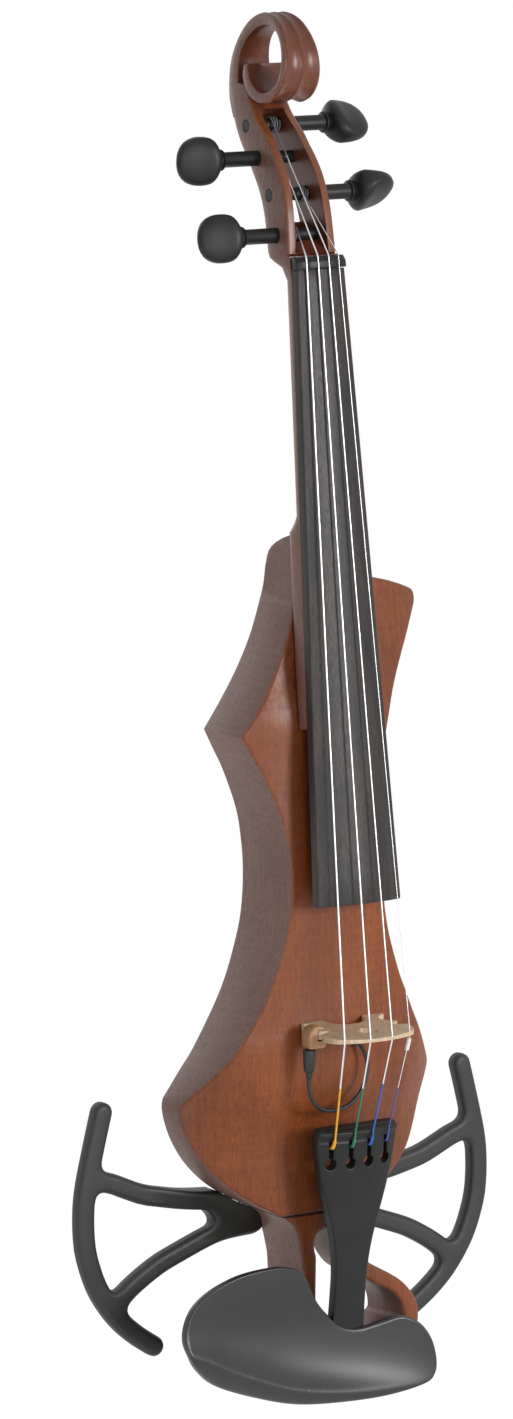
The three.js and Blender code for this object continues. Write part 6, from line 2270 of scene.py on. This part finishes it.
@dataclass
class Wing:
    """A curved outer bar on two ribs, with a root that lies along the body's side."""

    reach: float = 107.6
    below: float = 81.0
    middle: float = 3.75
    bar: float = 8.9
    upper_rib: float = 8.8
    lower_rib: float = 8.4
    thickness: float = 7.4
    root_depth: float = 13.6
    root_bar: float = 4.032
    blend: float = 20.0
    blend_end: float = 74.0
    fillet: float = 5.0
    rim_radius: float = 2.5
    cell: float = 1.5
    point_step: float = 1.6
    field_low: tuple[float, float] = (4.0, -152.0)
    field_high: tuple[float, float] = (114.0, -22.0)
    shift: float = -0.5
    rim: Table = (
        (0.864, 0.437), (0.905, 0.279), (0.941, 0.121), (0.95, 0), (0.943, -0.109),
        (0.926, -0.178), (0.902, -0.247), (0.871, -0.309), (0.831, -0.368), (0.779, -0.43),
        (0.705, -0.494), (0.627, -0.547),
    )
    upper: Table = (
        (0.892, 0.163), (0.818, 0.141), (0.753, 0.112), (0.674, 0.079), (0.595, 0.06),
        (0.511, 0.043), (0.418, 0.032), (0.335, 0.025), (0.25, 0.0), (0.15, -0.04),
    )
    lower: Table = (
        (0.799, -0.349), (0.739, -0.299), (0.669, -0.254), (0.595, -0.214), (0.52, -0.185),
        (0.446, -0.158), (0.372, -0.133), (0.288, -0.112), (0.186, -0.1),
    )
    root: Table = ((0.34, -0.01), (0.3, -0.06), (0.22, -0.07), (0.15, -0.09))

    def line(self, shares: Table, sign: int, steps: int) -> Outline:
        """A bar's line.

        Args:
            shares: its places, as shares of the wing's reach.
            sign: -1 for the bass side and 1 for the treble side.
            steps: number of even steps.

        Returns:
            Its points.
        """
        shift, reach = sign * self.shift, self.reach
        points = [Vector((x * reach + shift, z * reach - self.below)) for x, z in shares]
        return even_curve(points, steps)

    def grown(self, outline: Outline, gap: float, sign: int) -> Outline:
        """An outline moved outwards by a gap and mirrored for a side.

        Args:
            outline: its points.
            gap: how far it grows.
            sign: -1 for the bass side and 1 for the treble side.

        Returns:
            The new outline.
        """
        ahead = outline[1:] + outline[:1]
        turn = math.copysign(gap, sum(a.x * b.y - b.x * a.y for a, b in zip(outline, ahead)))
        points = []
        for before, here, after in zip(outline[-1:] + outline, outline, ahead):
            way = (after - before).normalized()
            points.append(Vector(((here.x + way.y * turn) * sign, here.y - way.x * turn)))
        return points

    def mould(self, sign: int) -> Mould:
        """A wing's mould.

        Args:
            sign: -1 for the bass wing and 1 for the treble wing.

        Returns:
            The mould.
        """
        bars = [
            (self.line(self.rim, sign, 26), self.bar / 2),
            (self.line(self.upper, sign, 18), self.upper_rib / 2),
            (self.line(self.lower, sign, 18), self.lower_rib / 2),
            (self.line(self.root, sign, 6), self.root_bar),
        ]
        field = Field(bars, self.fillet)
        loops = []
        for loop in field.edges(Vector(self.field_low), Vector(self.field_high), self.cell)[:2]:
            count = int(line_length(loop) / self.point_step)
            loops.append(even_line([*loop, loop[0]], count)[:-1])
        hull = [point for point in self.grown(BODY.outline(), 0.0, sign) if point.y < 0 < point.x]
        front, back = self.middle - self.thickness / 2, self.middle + self.thickness / 2
        rise = self.root_depth - self.thickness

        def raised(x: float, z: float) -> float:
            """Y of the front, which stands out towards the body.

            Args:
                x: position along X.
                z: position along Z.

            Returns:
                Y in millimetres.
            """
            if x > self.blend_end:
                return front
            share = clamp(1 - (field.length_to(hull, Vector((x, z))) - 1) / self.blend)
            return front - rise * share * share * (3 - 2 * share)

        rims, grid = (self.rim_radius, self.rim_radius), (spread(8, 76, 32), spread(-108, -52, 26))
        made = Mould().slab(loops, raised, level(back), rims, grid, 5)
        deep = BODY.crown + 8
        for outline in (BODY.outline(), even_curve(plan(TAIL.outer, TAIL.place), 120)):
            grown = self.grown(outline, GAP, sign)
            tool = Mould().slab([grown], level(-deep), level(deep), (0.1, 0.1), rim_steps=1)
            made.join(tool, Join.CUT)
        self.keep_largest(made.mesh)
        if sign < 0:
            made.move(Matrix.Diagonal((-1, 1, 1, 1)))
            bmesh.ops.reverse_faces(made.mesh, faces=made.mesh.faces)
        return made

    def keep_largest(self, mesh: bmesh.types.BMesh) -> None:
        """Removes what a cut leaves apart from the largest part.

        Args:
            mesh: the wing's mesh.
        """
        left, parts = set(mesh.verts), []
        while left:
            part, edge_of = set(), [left.pop()]
            while edge_of:
                vert = edge_of.pop()
                part.add(vert)
                fresh = [e.other_vert(vert) for e in vert.link_edges if e.other_vert(vert) in left]
                left.difference_update(fresh)
                edge_of += fresh
            parts.append(part)
        largest = max(parts, key=len)
        loose = [vert for vert in mesh.verts if vert not in largest]
        bmesh.ops.delete(mesh, geom=loose, context="VERTS")


# Small pieces that keep their solid's shape


@dataclass(frozen=True)
class Fitting:
    """A small piece that follows its solid, with softened edges."""

    node: str
    finish: str
    slot: str
    soften: float = 0.2
    rides: str = ROOT
    sharp: float = 40.0
    front: float = -math.inf

    def build(self, bench: Bench) -> None:
        """Casts the piece, drawn back to its front limit.

        Args:
            bench: casts it.
        """
        made = Mould.of_node(self.node)
        for vert in made.mesh.verts:
            vert.co.y = max(vert.co.y, self.front)
        if self.soften:
            made.soften(self.soften)
        nodes = (self.node,)
        name = f"{self.node}_piece"
        bench.cast(made, name, self.finish, nodes, self.rides, self.sharp)


def of_steel(soften: float, *nodes: str, front: float = -math.inf) -> list[Fitting]:
    """Plated fittings of one kind.

    Args:
        soften: width of their edges.
        nodes: their solids.
        front: least Y that they may reach.

    Returns:
        The fittings.
    """
    return [
        Fitting(node, "plated_steel", "plated_steel", soften, front=front) for node in nodes
    ]


def of_plastic(soften: float, *nodes: str, rides: str = ROOT) -> list[Fitting]:
    """Black plastic fittings of one kind.

    Args:
        soften: width of their edges.
        nodes: their solids.
        rides: the body that they move with.

    Returns:
        The fittings.
    """
    return [Fitting(node, "black_plastic", "black_plastic", soften, rides) for node in nodes]


BARREL_FRONT = -46.1
FITTINGS = (
    Fitting("nut", "nut_black", "ebony", 0.3),
    Fitting("saddle", "ebony_board", "ebony", 0.3),
    Fitting("string_e_sleeve", "white_sleeve", "white_plastic", 0.0),
    *(Fitting(f"tail_dowel_{k}", "dowel_birch", "pale_wood", 0.4) for k in ("bass", "treble")),
    *(Fitting(f"chinrest_cork_{k}", "cork_pad", "cork", 0.15) for k in ("front", "back")),
    *of_steel(0.2, "chinrest_clamp_plate"),
    *of_steel(0.15, "chinrest_barrel_outer", "chinrest_barrel_inner", front=BARREL_FRONT),
    *of_steel(0.2, "wing_pin_bass_outer", "wing_pin_bass_inner"),
    *of_steel(0.2, "wing_pin_treble_outer", "wing_pin_treble_inner"),
    *of_plastic(0.12, "back_cover"),
    *of_steel(0.1, *(f"cover_screw_{k}" for k in range(1, 5))),
    *of_steel(0.15, "volume_pot", "tone_pot"),
    *of_plastic(0.12, "volume_knob", rides="volume_knob"),
    *of_plastic(0.12, "tone_knob", rides="tone_knob"),
    Fitting("preamp_board", "green_board", "green_board", 0.1),
    Fitting("battery", "battery_case", "battery_case", 0.4),
    *of_plastic(0.3, "battery_clip"),
    *of_plastic(0.15, "battery_lid", rides="battery_lid"),
    *of_steel(0.1, "lid_hinge_pin"),
    *of_steel(0.12, "output_jack"),
)


@dataclass
class TailFittings:
    """The gut and the end button."""

    shaft: float = 3.6
    neck: float = 4.6
    head: float = 6.8
    head_length: float = 5.4
    neck_length: float = 4.2
    depth: float = 9.0

    def build(self, bench: Bench) -> None:
        """Casts the button and the gut.

        Args:
            bench: casts them.
        """
        at = Vector((0, -TAIL.depth / 2, TAIL.end))
        rest, neck_end = self.depth + GAP, self.depth + GAP + self.neck_length
        pairs = [
            (0, self.shaft * 0.5), (0, self.shaft * 0.85), (rest, self.shaft),
            (rest, self.neck), (rest + self.neck_length * 0.8, self.neck * 0.94),
            (neck_end, self.head * 0.9), (neck_end + 0.3, self.head * 0.96),
        ]
        for turn in (math.radians(angle) for angle in (10, 25, 40, 55, 70, 82)):
            along = neck_end + 0.8 + (self.head_length - 0.5) * math.sin(turn)
            pairs.append((along, self.head * math.cos(turn) ** 0.6))
        made = Mould().turn(at + Vector((0, 0, self.depth)), Vector((0, 0, -1)), pairs)
        bench.cast(made, "button", "black_fittings", ("end_button",))
        made = Mould.of_node("tail_gut")
        bench.cast(made, "tail_cord", "tail_cord", ("tail_gut",), sharp=80)


# Studio


@dataclass
class Studio:
    """Camera, floor and soft light."""

    place: tuple[float, float, float] = (-1648.3, -2509.2, 606.7)
    right: tuple[float, float, float] = (0.83806, -0.54558, -0.00235)
    up: tuple[float, float, float] = (0.08708, 0.12951, 0.98775)
    back: tuple[float, float, float] = (-0.53859, -0.82799, 0.15605)
    lens: float = 179.29
    sensor: float = 36.0
    floor: float = -600.0
    floor_size: float = 30.0
    floor_glow: float = 1.15
    floor_seen: float = 0.85
    world_light: float = 0.2
    target: tuple[float, float, float] = (0, -0.02, 0.12)
    lamps: Sequence[tuple[str, tuple[float, float, float], float, float]] = (
        ("key", (0.8, -2.25, 0.6), 0.62, 35.0),
        ("front", (-0.9, -2.2, 0.4), 0.9, 13.0),
        ("left", (-1.1, -0.3, -0.8), 0.8, 12.0),
        ("behind", (-0.2, 2.5, 0.6), 1.2, 9.0),
    )

    def camera(self) -> None:
        """Makes the camera of the photograph's view."""
        data = bpy.data.cameras.new("camera")
        data.sensor_fit = "AUTO"
        data.sensor_width = self.sensor
        data.lens = self.lens
        data.clip_end = 100.0
        camera = put_in_scene("camera", data)
        rows = Matrix((self.right, self.up, self.back)).transposed().to_4x4()
        camera.matrix_world = Matrix.Translation(Vector(self.place) * MM) @ rows
        bpy.context.scene.camera = camera

    def stage(self) -> None:
        """Makes a wide pale floor below the hanging violin."""
        mesh = bmesh.new()
        pose = Matrix.Translation((0, 0, self.floor * MM))
        size = self.floor_size
        bmesh.ops.create_grid(mesh, x_segments=1, y_segments=1, size=size, matrix=pose)
        data = bpy.data.meshes.new("floor")
        mesh.to_mesh(data)
        mesh.free()
        data.materials.append(self.floor_finish())
        put_in_scene("floor", data)

    def floor_finish(self) -> bpy.types.Material:
        """White to the camera and in reflections, and pale to the light.

        Returns:
            The material.
        """
        material = bpy.data.materials.new("pale_floor")
        material.use_nodes = True
        tree = material.node_tree
        tree.nodes.clear()
        plain = add_node(tree, "ShaderNodeBsdfDiffuse", {"Color": (0.8, 0.8, 0.8, 1.0)})
        white = add_node(tree, "ShaderNodeEmission", {"Strength": self.floor_glow})
        share = self.seen_share(tree, self.floor_seen)
        inputs = {"Fac": share, 1: plain.outputs[0], 2: white.outputs[0]}
        both = add_node(tree, "ShaderNodeMixShader", inputs)
        add_node(tree, "ShaderNodeOutputMaterial", {"Surface": both.outputs[0]})
        return material

    def seen_share(self, tree: bpy.types.NodeTree, share: float) -> Socket:
        """A share for rays from the camera, reflections and glass, and 0 for other light.

        Args:
            tree: nodes of the floor or of the world.
            share: the share.

        Returns:
            The value.
        """
        path = tree.nodes.new("ShaderNodeLightPath").outputs
        value = path["Is Camera Ray"]
        for name in ("Is Glossy Ray", "Is Transmission Ray"):
            inputs = {0: value, 1: path[name]}
            value = add_node(tree, "ShaderNodeMath", inputs, operation="MAXIMUM").outputs[0]
        return add_node(tree, "ShaderNodeMath", {0: value, 1: share}, operation="MULTIPLY").outputs[0]

    def world(self) -> None:
        """White where it is seen, and softer as light on the violin."""
        world = bpy.data.worlds.new("studio")
        bpy.context.scene.world = world
        world.use_nodes = True
        tree = world.node_tree
        ground = tree.nodes["Background"]
        ground.inputs["Color"].default_value = (1, 1, 1, 1)
        inputs = {0: self.seen_share(tree, 1 - self.world_light), 1: self.world_light}
        total = add_node(tree, "ShaderNodeMath", inputs, operation="ADD")
        tree.links.new(total.outputs[0], ground.inputs["Strength"])

    def lamp(self, name: str, place: Sequence[float], size: float, power: float) -> None:
        """Adds a soft square lamp that looks at the violin.

        Args:
            name: of the lamp.
            place: in metres.
            size: of its side in metres.
            power: in watts.
        """
        data = bpy.data.lights.new(name, "AREA")
        data.size = size
        data.energy = power
        lamp = put_in_scene(name, data)
        way = Vector(self.target) - Vector(place)
        lamp.location = place
        lamp.rotation_euler = way.to_track_quat("-Z", "Y").to_euler()

    def build(self) -> None:
        """Makes the stage, the world and the lamps."""
        self.stage()
        self.world()
        for lamp in self.lamps:
            self.lamp(*lamp)
        bpy.context.scene.view_settings.view_transform = "Standard"


def front_chooser(front: Law, reach: float) -> Chooser:
    """Tells a carved front's faces from the rest.

    Args:
        front: Y of the front.
        reach: how far from it a face may lie.

    Returns:
        A chooser that gives 1 for a face of the front and 0 for any other.
    """

    def choose(face: bmesh.types.BMFace) -> int:
        """1 for a face of the front and 0 for any other."""
        middle = face.calc_center_median()
        return int(abs(middle.y - front(middle.x, middle.z)) < reach)

    return choose


def head_side(face: bmesh.types.BMFace) -> int:
    """Tells the head's sides and its cheeks from the rest.

    Args:
        face: the face.

    Returns:
        1 for a side of the head or the neck, 2 for a cheek's front, 0 for any other.
    """
    middle = face.calc_center_median()
    if abs(face.normal.x) > 0.72 and face.normal.x * middle.x > 0:
        return 1
    cheek = 329 < middle.z < 396 and face.normal.y < -0.3 and abs(middle.x) > 5
    return 2 if cheek else 0


def build_pegs(bench: Bench) -> None:
    """Casts the four pegs, each at its angle.

    Args:
        bench: casts them.
    """
    for name, along, back, side, turn in NECK.pegs:
        along, back = along * NECK.box_length, back * NECK.depth
        pose = Matrix.Translation((0, back, along))
        pose = pose @ Matrix.Rotation(math.radians(turn), 4, "X")
        if side < 0:
            pose = pose @ Matrix.Rotation(math.pi, 4, "Z")
        peg, node = Peg().mould(along).move(NECK_POSE @ pose), f"peg_{name}"
        bench.cast(peg, f"turned_{node}", "black_fittings", (node,), node)


def build_violin(bench: Bench) -> None:
    """Builds every piece, the lead first.

    Args:
        bench: casts the pieces.
    """
    pickup = Pickup()
    pickup.build_lead(bench)
    # Faces off the carved fronts, and the head's sides, take the sides' finish with its painted
    # sheen.
    bench.cast(
        Body().mould(), "carved_body", "stained_side_painted_sheen", ("body",),
        sharp=26.0, others=("stained_top",), chooser=front_chooser(BODY.front, 0.3),
    )
    bench.cast(
        TAIL.mould(), "carved_tail_frame", "stained_side_painted_sheen", ("tail_frame",),
        others=("stained_top",), chooser=front_chooser(TAIL.front, 0.35),
    )
    bench.cast(
        NECK.mould(), "carved_neck", "stained_head", ("neck",),
        others=("stained_side_painted_sheen", "stained_cheek"), chooser=head_side,
    )
    board = BOARD.mould(NECK.start() - NECK.root)
    bench.cast(board, "board", "ebony_board", ("fingerboard",))
    build_pegs(bench)
    made, fittings = TAILPIECE.mould(), "black_fittings"
    bench.cast(made, "arched_tailpiece", fittings, ("tailpiece",))
    StringSet().build(bench)
    bench.cast(Bridge().mould(), "carved_bridge", "bridge_maple", ("bridge",))
    pickup.build(bench)
    made = Chinrest().mould()
    bench.cast(made, "dished_chinrest", "chinrest_black", ("chinrest",))
    TailFittings().build(bench)
    for side, sign in (("bass", -1), ("treble", 1)):
        made, node = Wing().mould(sign), f"wing_{side}"
        bench.cast(made, f"curved_{node}", "wing_coating", (node,))
    for fitting in FITTINGS:
        fitting.build(bench)


def main() -> None:
    """Builds the scene."""
    logging.basicConfig(level=logging.INFO, format="%(name)s: %(message)s")
    studio = Studio()
    studio.camera()
    build_violin(Bench())
    studio.build()


if __name__ == "__main__":
    main()
